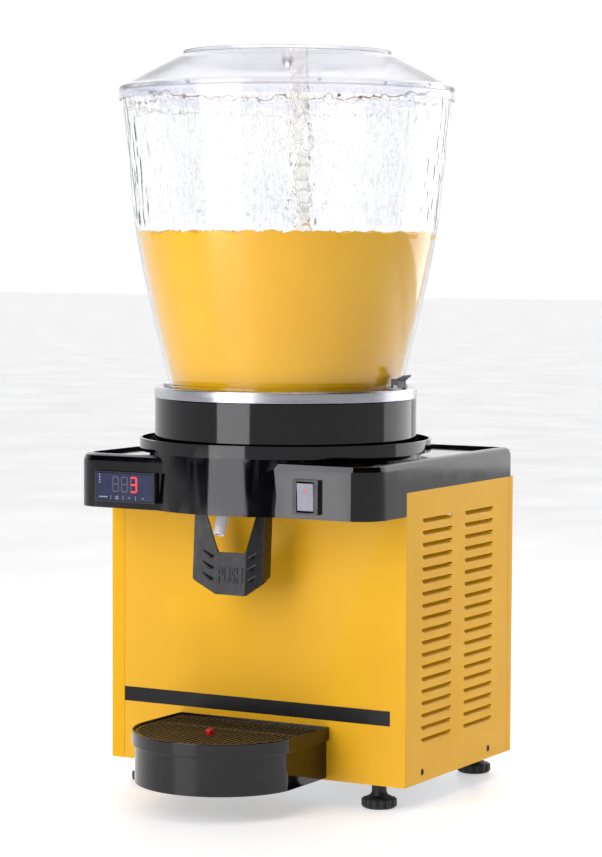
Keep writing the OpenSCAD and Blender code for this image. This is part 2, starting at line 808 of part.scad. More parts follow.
module tray_grille() {
    color([0.09, 0.09, 0.1]) from_front() difference() {
        translate([0, 0, grille_top - grille_t]) linear_extrude(grille_t) tray_plan(tray_wall + gap, 3.8);
        translate([0, 0, grille_top - grille_t - 1]) linear_extrude(grille_t + 2) difference() {
            intersection() {
                tray_plan(tray_wall + 5, 9);
                for (i = [-13:13])
                    translate([i * slot_pitch - slot_w / 2, -170]) square([slot_w, 170]);
            }
            translate([-tray_half, -54]) square([2 * tray_half, 6]);
            translate([0, float_y]) circle(r = 8);
        }
        translate([0, float_y, grille_top - 10]) cylinder(h = 20, r = 4.5);
    }
}

module level_float() {
    color([0.85, 0.1, 0.08]) from_front() translate([0, float_y, 0]) union() {
        translate([0, 0, basin_floor + 2.6]) cylinder(h = 10, r = 15);
        translate([0, 0, basin_floor + 12]) cylinder(h = tray_top - basin_floor - 12, r = 2.5);
        translate([0, 0, grille_top - 1]) cylinder(h = 3, r = 4);
        translate([0, 0, grille_top + 2]) sphere(r = 4);
    }
}

// ---------- cooling machine ----------

module compressor() {
    shell_low = 46;
    shell_top = 190;
    color([0.08, 0.08, 0.09]) from_front() translate([compressor_at[0], compressor_at[1], 0]) difference() {
        union() {
            translate([0, 0, shell_low]) cylinder(h = shell_top - shell_low - 22, r = compressor_r);
            intersection() {
                translate([0, 0, shell_top - 112]) sphere(r = 112);
                translate([0, 0, shell_top - 40]) cylinder(h = 60, r = compressor_r);
            }
            tube(compressor_r + 2, compressor_r - 2, 112, 118);
            slab([-62, -62, 40], [62, 62, 43]);
            translate([0, 0, 42]) cylinder(h = 6, r = 50);
        }
        for (x = [-50, 50]) for (y = [-50, 50]) translate([x, y, 38]) cylinder(h = 8, r = 5);
    }
}

module compressor_mounts() {
    color([0.12, 0.12, 0.12]) from_front() translate([compressor_at[0], compressor_at[1], 0])
        for (x = [-50, 50]) for (y = [-50, 50]) translate([x, y, 0]) difference() {
            union() {
                translate([0, 0, body_low + 1.5]) cylinder(h = 40 - body_low - 1.5, r = 8);
                translate([0, 0, 39]) cylinder(h = 6, r = 5);
                translate([0, 0, 43]) cylinder(h = 3, r = 7);
            }
            translate([0, 0, body_low]) cylinder(h = 40, r = 3);
        }
}

module terminal_box() {
    color([0.15, 0.15, 0.16]) from_front() translate([compressor_at[0], compressor_at[1], 0])
        difference() {
            slab([compressor_r - 8, -26, 70], [compressor_r + 24, 26, 110]);
            translate([0, 0, 60]) cylinder(h = 60, r = compressor_r);
        }
}

module condenser() {
    tube_z = [for (i = [0:5]) 75 + i * 36];
    color([0.72, 0.73, 0.75]) from_front() union() {
        for (z = tube_z) rod([condenser_x, 30, z], [condenser_x, 212, z], 4);
        for (i = [0:2]) translate([condenser_x, 212, 93 + i * 72]) rotate([0, 90, 0])
            intersection() {
                rotate_extrude() translate([18, 0]) circle(r = 4);
                slab([-30, 0, -10], [30, 30, 10]);
            }
        for (i = [0:1]) translate([condenser_x, 30, 129 + i * 72]) rotate([0, 90, 0])
            intersection() {
                rotate_extrude() translate([18, 0]) circle(r = 4);
                slab([-30, -30, -10], [30, 0, 10]);
            }
        for (i = [0:16])
            slab([condenser_x - 15, 40 + i * 10, 58], [condenser_x + 15, 40.8 + i * 10, 272]);
        for (y = [31, 210])
            slab([condenser_x - 23.5, y, body_low + 1.5], [condenser_x + 16, y + 1, 276]);
    }
}

module fan_shroud() {
    shroud_x = condenser_x - 25;
    color([0.75, 0.76, 0.78]) from_front() difference() {
        union() {
            slab([shroud_x, 26, body_low + 1.5], [shroud_x + 1.5, 216, 276]);
            translate([shroud_x - 16, fan_y, fan_z]) rotate([0, 90, 0]) cylinder(h = 17, r = 80);
        }
        translate([shroud_x - 20, fan_y, fan_z]) rotate([0, 90, 0]) cylinder(h = 40, r = 78);
    }
}

module fan_motor() {
    motor_x = condenser_x - 79;
    color([0.3, 0.3, 0.32]) from_front() difference() {
        union() {
            bar_x(motor_x, motor_x + 39.5, fan_y, fan_z, 24);
            for (a = [45:90:315]) translate([motor_x + 38, fan_y, fan_z]) rotate([a, 0, 0])
                slab([0.3, 20, -4], [2, 78.5, 4]);
        }
        bar_x(motor_x + 5, motor_x + 60, fan_y, fan_z, 2.56);
    }
}

module fan_blade() {
    hub_x = condenser_x - 36;
    color([0.1, 0.1, 0.12]) from_front() union() {
        bar_x(hub_x - 30, hub_x + 6, fan_y, fan_z, 2.5);
        bar_x(hub_x - 2, hub_x + 10, fan_y, fan_z, 16);
        for (a = [0:72:288]) translate([hub_x + 4, fan_y, fan_z]) rotate([a, 0, 0])
            intersection() {
                rotate([0, 28, 0]) slab([-0.8, 12, -24], [0.8, 71, 24]);
                slab([-5.2, 10, -30], [5.2, 90, 30]);
            }
    }
}

module filter_drier() {
    color([0.78, 0.45, 0.3]) from_front() union() {
        rod([20, 60, 60], [20, 140, 60], 9);
        pipe([[condenser_x, 30, 75], [condenser_x, 20, 75], [20, 20, 75], [20, 20, 60], [20, 60, 60]], 3);
        rod([20, 140, 60], [20, 150, 60], 3);
    }
}

module capillary_tube() {
    color([0.78, 0.45, 0.3]) from_front() pipe([[20, 150, 60], [20, 225, 60], [20, 225, 310],
        [75, 225, 310], [75, tank_y, 310], [75, tank_y, 330]], 1.5);
}

module discharge_pipe() {
    color([0.78, 0.45, 0.3]) from_front() pipe([[compressor_at[0], compressor_at[1] - 60, 140],
        [compressor_at[0], 24, 140], [compressor_at[0], 24, 285], [condenser_x, 24, 285],
        [condenser_x, 24, 255], [condenser_x, 30, 255]], 3);
}

module suction_pipe() {
    color([0.78, 0.45, 0.3]) from_front() pipe([[-75, tank_y, 330], [-75, tank_y, 230],
        [-130, tank_y, 230], [-130, compressor_at[1], 230], [-130, compressor_at[1], 165]], 4);
}

module wiring_loom() {
    color([0.12, 0.12, 0.13]) from_front() pipe([[lens_c[0], -19, lens_c[1]], [lens_c[0], -10, lens_c[1]],
        [lens_c[0], -10, 338.6], [lens_c[0], 16, 338.6], [lens_c[0], 16, 240], [0, 16, 240],
        [0, 16, 90], [0, compressor_at[1] - 26, 90]], 2.2);
}

module cable_gland() {
    color([0.1, 0.1, 0.11]) from_front() translate([115, 0, 62]) difference() {
        union() {
            hole_y(0, 0, 8, body_d - 14, body_d + 1);
            hole_y(0, 0, 12, body_d, body_d + 3);
            hole_y(0, 0, 9, body_d, body_d + gland_reach);
        }
        hole_y(0, 0, 4, body_d - 20, body_d + 20);
    }
}

module foot_nuts() {
    color([0.7, 0.71, 0.72]) from_front() for (x = [-foot_x, foot_x]) for (y = foot_ys)
        translate([x, y, body_low + 1.5]) difference() {
            cylinder(h = 6.5, r = 7.5, $fn = 6);
            translate([0, 0, -1]) cylinder(h = 10, r = 4.08);
        }
}

// levelling foot: a knurled pad that narrows to a neck, and the screw above it
module foot(x, y) {
    knurls = 24;
    color([0.08, 0.08, 0.08]) from_front() translate([x, y, 0]) union() {
        difference() {
            rotate_extrude() polygon([[0, 0], [foot_pad_r - 1.5, 0], [foot_pad_r, 1.5], [foot_pad_r, 9],
                [foot_pad_r - 1.5, 10.5], [9.5, 13], [7.6, 16], [7.6, body_low], [0, body_low]]);
            for (i = [0:knurls - 1]) rotate([0, 0, i * 360 / knurls])
                translate([foot_pad_r + 0.7, 0, 1.6]) cylinder(h = 7.4, r = 1.5, $fn = 16);
        }
        translate([0, 0, body_low - 1]) cylinder(h = 21, r = 4);
    }
}

module foot_front_left() {
    foot(-foot_x, foot_ys[0]);
}

module foot_front_right() {
    foot(foot_x, foot_ys[0]);
}

module foot_rear_left() {
    foot(-foot_x, foot_ys[1]);
}

module foot_rear_right() {
    foot(foot_x, foot_ys[1]);
}

base_plate();
body_wrap();
front_panel();
side_panel();
panel_screws();
front_stripe();
top_cover();
collar_ring();
evaporator_pan();
pan_insulation();
evaporator_coil();
temperature_probe();
outlet_spigot();
outlet_tube();
tank();
tank_seal();
juice();
lid();
latch_hinges();
latch_left();
latch_right();
pump_housing();
impeller();
pump_motor();
drive_magnet();
motor_bracket();
tap_bracket();
bracket_screws();
pivot_pin();
push_lever();
lever_spring();
controller_case();
controller_lens();
switch_body();
switch_key();
tray_bracket();
drip_tray();
tray_grille();
level_float();
compressor();
compressor_mounts();
terminal_box();
condenser();
fan_shroud();
fan_motor();
fan_blade();
filter_drier();
discharge_pipe();
suction_pipe();
capillary_tube();
wiring_loom();
cable_gland();
foot_nuts();
foot_front_left();
foot_front_right();
foot_rear_left();
foot_rear_right();
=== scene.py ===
# %% [markdown]
# # A chilled drink dispenser, dressed around its CAD frame
# The machine has a sheet-steel cabinet, a black top cover with a collar, a clear tank with a fountain
# inside, a push lever under it and a drip tray in front. The CAD frame fixes where everything is and how
# it moves. This lesson adds what the eye looks for: rounded edges, pressed louvres, running liquid,
# and finishes that vary over the surface. First the frame is loaded; the end prints how far each softened
# part outgrows its box.

# %% Load the frame
import json
import math

import bmesh
import bpy
from mathutils import Matrix, Vector

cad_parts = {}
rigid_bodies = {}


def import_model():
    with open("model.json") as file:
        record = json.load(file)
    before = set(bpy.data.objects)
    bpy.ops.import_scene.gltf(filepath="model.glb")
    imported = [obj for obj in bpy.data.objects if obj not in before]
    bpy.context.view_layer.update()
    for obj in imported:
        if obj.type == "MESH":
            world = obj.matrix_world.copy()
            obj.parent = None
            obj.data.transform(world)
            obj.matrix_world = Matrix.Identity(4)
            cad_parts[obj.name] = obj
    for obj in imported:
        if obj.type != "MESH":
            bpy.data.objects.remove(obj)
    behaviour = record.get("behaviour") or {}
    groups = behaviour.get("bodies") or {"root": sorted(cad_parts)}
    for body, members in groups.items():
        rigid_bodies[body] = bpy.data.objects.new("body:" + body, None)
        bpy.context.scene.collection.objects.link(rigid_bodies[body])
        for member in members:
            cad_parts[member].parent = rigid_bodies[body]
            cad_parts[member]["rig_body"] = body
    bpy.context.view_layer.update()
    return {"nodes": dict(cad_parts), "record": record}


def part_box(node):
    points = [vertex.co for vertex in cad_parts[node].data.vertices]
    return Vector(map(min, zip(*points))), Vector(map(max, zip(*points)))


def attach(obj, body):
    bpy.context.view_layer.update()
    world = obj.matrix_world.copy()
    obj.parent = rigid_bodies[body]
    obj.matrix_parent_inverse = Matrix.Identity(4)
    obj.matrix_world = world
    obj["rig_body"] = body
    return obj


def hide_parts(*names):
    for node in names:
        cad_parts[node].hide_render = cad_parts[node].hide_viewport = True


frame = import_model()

MM = 0.001
front_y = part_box("front_panel")[0].y / MM
half_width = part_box("front_panel")[1].x / MM
cabinet_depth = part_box("body_wrap")[1].y / MM - front_y
panel_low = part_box("side_panel")[0].z / MM
panel_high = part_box("side_panel")[1].z / MM
tank_low, tank_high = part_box("tank")
tank_y = (tank_low.y + tank_high.y) / 2 / MM - front_y
print(f"front at {front_y:.1f} mm, tank axis {tank_y:.1f} mm behind it")

# %% [markdown]
# ## The camera
# The machine is seen from its front right, a little above the middle of the cabinet. A long lens from
# two and a half metres keeps the uprights nearly parallel, as in a catalogue. The camera is built from
# the way it faces, so nothing has to be aimed by hand.

# %% Camera
LENS = 113.94


def camera_turn(yaw, down, roll):
    """The camera's turning matrix, from three angles in degrees."""
    a, e, r = (math.radians(v) for v in (yaw, down, roll))
    ahead = Vector((-math.sin(a) * math.cos(e), math.cos(a) * math.cos(e), -math.sin(e)))
    side = Vector((math.cos(a), math.sin(a), 0))
    up = side.cross(ahead)
    side, up = side * math.cos(r) + up * math.sin(r), up * math.cos(r) - side * math.sin(r)
    return Matrix((side, up, -ahead)).transposed().to_4x4()


camera_data = bpy.data.cameras.new("camera")
camera_data.sensor_width = 36.0
camera_data.lens = LENS
camera = bpy.data.objects.new("camera", camera_data)
camera.matrix_world = Matrix.Translation((1.398, -2.4438, 0.5574)) @ camera_turn(29.33, 3.66, 0.29)
bpy.context.scene.collection.objects.link(camera)
bpy.context.scene.camera = camera
print(f"lens {camera_data.lens:.1f} mm")

# %% [markdown]
# ## Floor, sky and two soft boxes
# Black gloss plastic shows only what it mirrors. So the studio is made of few large things: a tall soft
# box to the left, which the flat wings of the cover mirror, a wide one to the right behind, a faint one
# above, and a sky that is white behind the machine and dark behind the camera. The floor is pale.

# %% Studio
scene = bpy.context.scene
scene.view_settings.view_transform = "Standard"
AHEAD = Vector((-0.489, 0.870, 0.0))


def soft_box(name, turn, distance, wide, tall, height, watts):
    """An area light at an angle from the camera's own direction, facing the machine."""
    back = Matrix.Rotation(math.radians(turn), 3, "Z") @ -AHEAD
    lamp = bpy.data.lights.new(name, "AREA")
    lamp.shape = "RECTANGLE"
    lamp.size = wide
    lamp.size_y = tall
    lamp.energy = watts
    lamp.color = (1.0, 0.98, 1.0)
    place = back * distance + Vector((0, 0, height))
    holder = bpy.data.objects.new(name, lamp)
    facing = (place - Vector((0, 0, 0.4))).to_track_quat("Z", "Y")
    holder.matrix_world = Matrix.Translation(place) @ facing.to_matrix().to_4x4()
    holder.visible_camera = False
    scene.collection.objects.link(holder)


soft_box("left_box", -45, 1.9, 1.15, 2.3, 1.05, 30)
soft_box("right_box", 118, 1.9, 1.9, 1.6, 0.95, 14)
soft_box("top_box", 20, 0.5, 1.3, 1.3, 2.4, 14)

world = bpy.data.worlds.new("studio")
scene.world = world
world.use_nodes = True
sky = world.node_tree.nodes
direction = sky.new("ShaderNodeTexCoord")
along = sky.new("ShaderNodeVectorMath")
along.operation = "DOT_PRODUCT"
along.inputs[1].default_value = AHEAD
fade = sky.new("ShaderNodeMapRange")
fade.interpolation_type = "SMOOTHSTEP"
fade.inputs["From Min"].default_value = 0.1
fade.inputs["From Max"].default_value = 0.85
fade.inputs["To Min"].default_value = 0.02
fade.inputs["To Max"].default_value = 1.15
world.node_tree.links.new(direction.outputs["Generated"], along.inputs[0])
world.node_tree.links.new(along.outputs["Value"], fade.inputs["Value"])
world.node_tree.links.new(fade.outputs["Result"], sky["Background"].inputs["Strength"])
sky["Background"].inputs["Color"].default_value = (1, 1, 1, 1)

floor_mesh = bpy.data.meshes.new("floor")
floor_mesh.from_pydata([(-30, -30, 0), (30, -30, 0), (30, 30, 0), (-30, 30, 0)], [], [(0, 1, 2, 3)])
floor = bpy.data.objects.new("floor", floor_mesh)
scene.collection.objects.link(floor)
print("studio: three soft boxes, a shaded sky and a floor")

# %% [markdown]
# ## Finishes
# Every finish is a small recipe of noises on the object's own coordinates. One slow noise shifts the
# colour between two close shades, one sets the gloss, and one fine noise raises the grain. Corners that
# hands and cloths rub are a little paler. What is even all over is set on the shader itself.

# %% Finish recipe


def srgb(red, green, blue):
    """A colour as a paint chart gives it, 0 to 255, turned into light."""
    return tuple((v / 255) ** 2.2 for v in (red, green, blue)) + (1.0,)


def put(tree, kind, values=(), **settings):
    """Adds a node, sets its options, and sets or links its inputs. Gives its outputs."""
    node = tree.nodes.new(kind)
    for key, value in settings.items():
        setattr(node, key, value)
    for key, value in dict(values).items():
        if isinstance(value, bpy.types.NodeSocket):
            tree.links.new(value, node.inputs[key])
        else:
            node.inputs[key].default_value = value
    return node.outputs


def calc(tree, operation, *values):
    """One sum on up to three numbers."""
    return put(tree, "ShaderNodeMath", dict(enumerate(values)), operation=operation)[0]


def vector(tree, operation, *values):
    """One sum on up to three vectors."""
    return put(tree, "ShaderNodeVectorMath", dict(enumerate(values)), operation=operation)[0]


def spread(tree, value, low, high, to_low, to_high):
    """Stretches a value's range to another one."""
    return put(tree, "ShaderNodeMapRange", {"Value": value, "From Min": low, "From Max": high,
        "To Min": to_low, "To Max": to_high})["Result"]


def noise(tree, where, scale, detail=3.0):
    return put(tree, "ShaderNodeTexNoise", {"Vector": where, "Scale": scale, "Detail": detail})[0]


def surface(name, shades, gloss, mottle=25.0, grain=900.0, grain_height=0.01, stretch=(1, 1, 1),
            rubbed=0.0, **even):
    """A finish: two close shades, a range of roughness, a grain, and inputs that are even all over."""
    material = bpy.data.materials.new(name)
    material.use_nodes = True
    tree = material.node_tree
    shader = tree.nodes["Principled BSDF"]
    where = put(tree, "ShaderNodeMapping", {"Vector": put(tree, "ShaderNodeTexCoord")["Object"],
        "Scale": stretch})[0]
    share = spread(tree, noise(tree, where, mottle), 0.35, 0.65, 0, 1)
    tint = put(tree, "ShaderNodeMix", {0: share, 6: shades[0], 7: shades[1]}, data_type="RGBA")[2]
    if rubbed:
        corner = spread(tree, put(tree, "ShaderNodeNewGeometry")["Pointiness"], 0.53, 0.6, 0, rubbed)
        pale = tuple(0.5 * v + 0.5 for v in shades[1][:3]) + (1.0,)
        tint = put(tree, "ShaderNodeMix", {0: corner, 6: tint, 7: pale}, data_type="RGBA")[2]
    tree.links.new(tint, shader.inputs["Base Color"])
    sheen = spread(tree, noise(tree, where, mottle * 2.7, 5.0), 0.3, 0.7, gloss[0], gloss[1])
    tree.links.new(sheen, shader.inputs["Roughness"])
    bump = put(tree, "ShaderNodeBump", {"Height": noise(tree, where, grain, 2.0), "Strength": 1.0,
        "Distance": grain_height * MM})[0]
    tree.links.new(bump, shader.inputs["Normal"])
    for key, value in even.items():
        shader.inputs[key.replace("_", " ")].default_value = value
    return material


# %% [markdown]
# The paint is a powder coat: satin, with a faint orange peel. The cover, ring and tray are moulded in
# polished black, so they have almost no grain, only wiping marks in their gloss. The steel is brushed
# round the ring, which a noise squeezed along the height gives. Clear parts let the light through.

# %% The finishes
black = srgb(9, 8, 13)
FINISH = {
    "yellow_powder_coat": surface("yellow_powder_coat", (srgb(250, 188, 10), srgb(246, 182, 9)),
    (0.34, 0.44),
        12, 700, 0.02, rubbed=0.1, Specular_IOR_Level=0.22),
    "black_vinyl": surface("black_vinyl", (srgb(15, 14, 19), srgb(12, 11, 16)), (0.24, 0.34), 30, 1500,
    0.004,
        Specular_IOR_Level=0.3),
    "gloss_black": surface("gloss_black", (black, srgb(12, 11, 17)), (0.05, 0.1), 18, 300, 0.004,
    rubbed=0.04),
    "lever_black": surface("lever_black", (srgb(14, 13, 17), srgb(18, 17, 22)), (0.24, 0.36), 60, 1600,
    0.012,
        rubbed=0.05),
    "grille_black": surface("grille_black", (srgb(24, 22, 22), srgb(30, 27, 26)), (0.25, 0.4), 60, 1400,
    0.015,
        rubbed=0.1),
    "control_black": surface("control_black", (srgb(22, 22, 28), srgb(28, 28, 35)), (0.18, 0.28), 60,
    1300, 0.008,
        rubbed=0.05),
    "smoked_lens": surface("smoked_lens", (srgb(46, 49, 80), srgb(40, 43, 73)), (0.08, 0.14), 50, 400,
    0.003),
    "key_grey": surface("key_grey", (srgb(150, 151, 163), srgb(138, 139, 152)), (0.22, 0.3), 70, 1200,
    0.008),
    "stainless": surface("stainless", (srgb(205, 206, 212), srgb(188, 189, 196)), (0.2, 0.34), 8, 220, 0.012,
        (1, 1, 14), Metallic=1.0),
    "galvanised": surface("galvanised", (srgb(172, 176, 180), srgb(142, 147, 152)), (0.35, 0.55), 90,
    300, 0.01,
        Metallic=1.0),
    "spring_steel": surface("spring_steel", (srgb(180, 182, 186), srgb(150, 152, 158)), (0.2, 0.35), 300,
    2000,
        0.004, Metallic=1.0),
    "clear_tank": surface("clear_tank", (srgb(254, 254, 255), srgb(250, 251, 254)), (0.01, 0.05), 9, 60,
    0.02,
        Transmission_Weight=1.0, IOR=1.38),
    "clear_lid": surface("clear_lid", (srgb(251, 251, 255), srgb(246, 246, 253)), (0.03, 0.1), 9, 80, 0.02,
        Transmission_Weight=1.0, IOR=1.4),
    "running_drink": surface("running_drink", (srgb(250, 249, 243), srgb(243, 241, 230)), (0.03, 0.15),
    90, 160,
        0.2, Transmission_Weight=1.0, IOR=1.33),
    "orange_juice": surface("orange_juice", (srgb(252, 192, 14), srgb(249, 185, 9)), (0.35, 0.5), 14, 90,
    0.1,
        Subsurface_Weight=0.25, Subsurface_Scale=0.01, Specular_IOR_Level=0.1),
    "froth": surface("froth", (srgb(254, 206, 60), srgb(252, 192, 24)), (0.2, 0.35), 200, 900, 0.02,
        Subsurface_Weight=0.3, Subsurface_Scale=0.004),
    "seal_rubber": surface("seal_rubber", (srgb(28, 28, 28), srgb(36, 36, 36)), (0.55, 0.75), 120, 1500,
    0.03),
    "tap_silicone": surface("tap_silicone", (srgb(226, 224, 228), srgb(206, 204, 210)), (0.3, 0.45), 90, 700,
        0.02, Subsurface_Weight=0.3, Subsurface_Scale=0.004),
    "white_plastic": surface("white_plastic", (srgb(232, 232, 234), srgb(222, 222, 226)), (0.35, 0.5),
    60, 1200,
        0.01),
    "pump_clear": surface("pump_clear", (srgb(232, 235, 240), srgb(220, 224, 230)), (0.15, 0.3), 60, 500,
    0.01,
        Transmission_Weight=0.5),
    "impeller_blue": surface("impeller_blue", (srgb(38, 80, 165), srgb(30, 70, 150)), (0.35, 0.5), 90,
    1200, 0.01),
    "latch_grey": surface("latch_grey", (srgb(62, 64, 76), srgb(52, 54, 66)), (0.35, 0.5), 90, 1500, 0.015,
        rubbed=0.1),
    "foam": surface("foam", (srgb(236, 224, 176), srgb(222, 206, 150)), (0.75, 0.95), 130, 420, 0.4),
    "copper": surface("copper", (srgb(200, 120, 82), srgb(170, 92, 60)), (0.25, 0.45), 60, 600, 0.01,
    Metallic=1.0),
    "aluminium_fins": surface("aluminium_fins", (srgb(196, 199, 204), srgb(176, 180, 186)), (0.3, 0.5),
    60, 400,
        0.02, Metallic=1.0),
    "motor_iron": surface("motor_iron", (srgb(84, 86, 92), srgb(66, 68, 74)), (0.45, 0.65), 120, 500, 0.05,
        Metallic=0.8),
    "compressor_black": surface("compressor_black", (srgb(20, 20, 22), srgb(28, 28, 31)), (0.2, 0.35),
    20, 300,
        0.03, rubbed=0.1),
    "black_plastic": surface("black_plastic", (srgb(26, 26, 28), srgb(34, 34, 37)), (0.4, 0.6), 90, 1300,
    0.015),
    "screw_black": surface("screw_black", (srgb(26, 26, 28), srgb(48, 48, 50)), (0.3, 0.5), 400, 1500, 0.01,
        Metallic=0.9),
    "foot_rubber": surface("foot_rubber", (srgb(17, 17, 18), srgb(25, 25, 26)), (0.4, 0.6), 150, 1200, 0.04,
        rubbed=0.08),
    "float_red": surface("float_red", (srgb(222, 22, 26), srgb(204, 14, 20)), (0.15, 0.25), 200, 1200,
    0.006),
    "red_light": surface("red_light", (srgb(255, 60, 62), srgb(255, 48, 50)), (0.3, 0.4), 400, 1500, 0.002,
        Emission_Color=srgb(255, 46, 50), Emission_Strength=0.9),
    "dim_segment": surface("dim_segment", (srgb(74, 76, 98), srgb(70, 72, 94)), (0.25, 0.35), 400, 1500,
    0.002),
    "pale_print": surface("pale_print", (srgb(196, 198, 212), srgb(180, 182, 198)), (0.35, 0.5), 400,
    1500, 0.002),
    "studio_floor": surface("studio_floor", (srgb(244, 244, 246), srgb(240, 240, 243)), (0.35, 0.5), 1.5,
    60, 0.01,
        Emission_Color=(1, 1, 1, 1), Emission_Strength=0.45),
}
floor.data.materials.append(FINISH["studio_floor"])
node_slot = {part["node"]: part["material_slot"] for part in frame["record"]["subparts"]}
for name, part in frame["nodes"].items():
    part.data.materials.clear()
    part.data.materials.append(FINISH[node_slot[name]])
print(f"{len(FINISH)} finishes, {len(node_slot)} CAD nodes dressed")

# %% [markdown]
# A clear wall hardly dims what is behind it, but a renderer finds a lamp through bent glass only by
# luck, so drink in a glass tank would look dull. The usual answer is to let shadow rays and soft
# bounced light pass straight through clear parts, while the eye still sees the bent and mirrored view.

# %% Clear parts let lamps through


def let_lamps_through(material):
    """Rays that look for light pass the clear material with hardly any loss."""
    tree = material.node_tree
    shader = tree.nodes["Principled BSDF"]
    path = put(tree, "ShaderNodeLightPath")
    passes = calc(tree, "MAXIMUM", path["Is Shadow Ray"], path["Is Diffuse Ray"])
    through = put(tree, "ShaderNodeBsdfTransparent", {"Color": (0.97, 0.97, 0.98, 1)})[0]
    mixed = put(tree, "ShaderNodeMixShader", {0: passes, 1: shader.outputs[0], 2: through})[0]
    tree.links.new(mixed, tree.nodes["Material Output"].inputs["Surface"])


for clear in ("clear_tank", "clear_lid", "running_drink"):
    let_lamps_through(FINISH[clear])


def paint_refraction_streaks(material, low, high, depth):
    """Painted shade: thin grey lines mixed into the clear wall's colour where the wet film bends the light
    away, between two heights on the wall.
    """
    tree = material.node_tree
    place = put(tree, "ShaderNodeTexCoord")["Object"]
    stretched = put(tree, "ShaderNodeMapping", {"Vector": place, "Scale": (1, 1, 0.3)})[0]
    pattern = put(tree, "ShaderNodeTexNoise", {"Vector": stretched, "Scale": 85.0, "Detail": 5.0,
        "Roughness": 0.6, "Distortion": 0.8})[0]
    off_middle = calc(tree, "SUBTRACT", pattern, 0.5)
    off_middle = calc(tree, "ABSOLUTE", off_middle)
    line = spread(tree, off_middle, 0.0, 0.022, depth, 0)
    height = put(tree, "ShaderNodeSeparateXYZ", {0: place})["Z"]
    line = calc(tree, "MULTIPLY", line, spread(tree, height, low, low + 0.01, 0, 1))
    line = calc(tree, "MULTIPLY", line, spread(tree, height, high - 0.002, high, 1, 0))
    colour = tree.nodes["Principled BSDF"].inputs["Base Color"]
    plain = colour.links[0].from_socket
    # painted shade: a grey mixed into the wall's colour stands for the darker lines that refraction in the
    # film makes
    painted_streaks = put(tree, "ShaderNodeMix", {0: line, 6: plain, 7: srgb(150, 150, 158)}, data_type="RGBA")[2]
    tree.links.new(painted_streaks, colour)


# painted shade: grey refraction lines in the tank wall, between the drink and the top of the film
paint_refraction_streaks(FINISH["clear_tank"], 0.582, 0.722, 0.4)
print("clear parts pass the light on")

# %% [markdown]
# ## Workshop helpers
# A piece starts as points and faces in millimetres, measured from the cabinet's front panel. Modifiers
# finish it, and then it settles into a plain mesh. Joining it to the machine is one call: it takes the
# body and the finish of the CAD node it stands for.

# %% Helpers


def raw_piece(name, points, faces, from_front=True):
    """A mesh object from points in millimetres."""
    shift = front_y if from_front else 0.0
    mesh = bpy.data.meshes.new(name)
    mesh.from_pydata([Vector((x, y + shift, z)) * MM for x, y, z in points], [], faces)
    mesh.update()
    piece = bpy.data.objects.new(name, mesh)
    scene.collection.objects.link(piece)
    return piece


def piece_from(work, name):
    """Turns a finished bmesh into a piece."""
    piece = raw_piece(name, [], [], from_front=False)
    work.to_mesh(piece.data)
    work.free()
    return piece


def settle(piece):
    """Turns what the modifiers show into the piece's own plain mesh."""
    graph = bpy.context.evaluated_depsgraph_get()
    mesh = bpy.data.meshes.new_from_object(piece.evaluated_get(graph), depsgraph=graph)
    piece.modifiers.clear()
    piece.data = mesh
    return piece


def outward(piece, merge=0.0):
    """Turns all faces of a closed piece outwards, after merging doubles."""
    work = bmesh.new()
    work.from_mesh(piece.data)
    if merge:
        bmesh.ops.remove_doubles(work, verts=work.verts, dist=merge * MM)
    bmesh.ops.recalc_face_normals(work, faces=work.faces)
    work.to_mesh(piece.data)
    work.free()
    return piece


def shade(piece, angle=38):
    """Smooth shading, with a crease only where faces meet at more than an angle."""
    for face in piece.data.polygons:
        face.use_smooth = True
    piece.data.set_sharp_from_angle(angle=math.radians(angle))
    level = piece.modifiers.new("flat faces", "WEIGHTED_NORMAL")
    level.keep_sharp = True
    return settle(piece)


def round_edges(piece, width, segments=2, angle=30):
    """A small radius on every edge that is sharper than the angle, with flat faces kept flat."""
    bevel = piece.modifiers.new("edge radius", "BEVEL")
    bevel.width = width * MM
    bevel.segments = segments
    bevel.limit_method = "ANGLE"
    bevel.angle_limit = math.radians(angle)
    for face in piece.data.polygons:
        face.use_smooth = True
    level = piece.modifiers.new("flat faces", "WEIGHTED_NORMAL")
    level.keep_sharp = False
    return settle(piece)


def join_in(piece, finish, body, slot, *nodes):
    """Gives a piece its finish and its body, and hides the CAD nodes it stands for."""
    piece.data.materials.clear()
    piece.data.materials.append(FINISH[finish])
    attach(piece, body)
    if nodes:
        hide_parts(*nodes)
    return piece


def stand_for(piece, node):
    """The common case: a piece that stands for one CAD node, with that node's own finish."""
    slot = node_slot[node]
    return join_in(piece, slot, frame["nodes"][node]["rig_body"], slot, node)


def softened(node, width, segments=2):
    """A copy of a CAD node with its seams merged and a radius on its edges."""
    piece = bpy.data.objects.new(node + "_piece", frame["nodes"][node].data.copy())
    scene.collection.objects.link(piece)
    work = bmesh.new()
    work.from_mesh(piece.data)
    bmesh.ops.remove_doubles(work, verts=work.verts, dist=0.004 * MM)
    bmesh.ops.dissolve_limit(work, angle_limit=math.radians(0.5), verts=work.verts, edges=work.edges)
    work.to_mesh(piece.data)
    work.free()
    return stand_for(round_edges(piece, width, segments), node)


def filleted(corners, steps=5):
    """An outline whose corners, given as (across, up, radius), are rounded."""
    outline = []
    for i, (x, y, radius) in enumerate(corners):
        here = Vector((x, y))
        back = Vector(corners[i - 1][:2]) - here
        on = Vector(corners[(i + 1) % len(corners)][:2]) - here
        if not radius:
            outline.append((x, y))
            continue
        reach = min(radius / math.tan(back.angle(on) / 2), 0.48 * back.length, 0.48 * on.length)
        a, b = here + back.normalized() * reach, here + on.normalized() * reach
        for k in range(steps + 1):
            t = k / steps
            point = a * (1 - t) ** 2 + here * 2 * t * (1 - t) + b * t * t
            outline.append(tuple(point))
    return outline


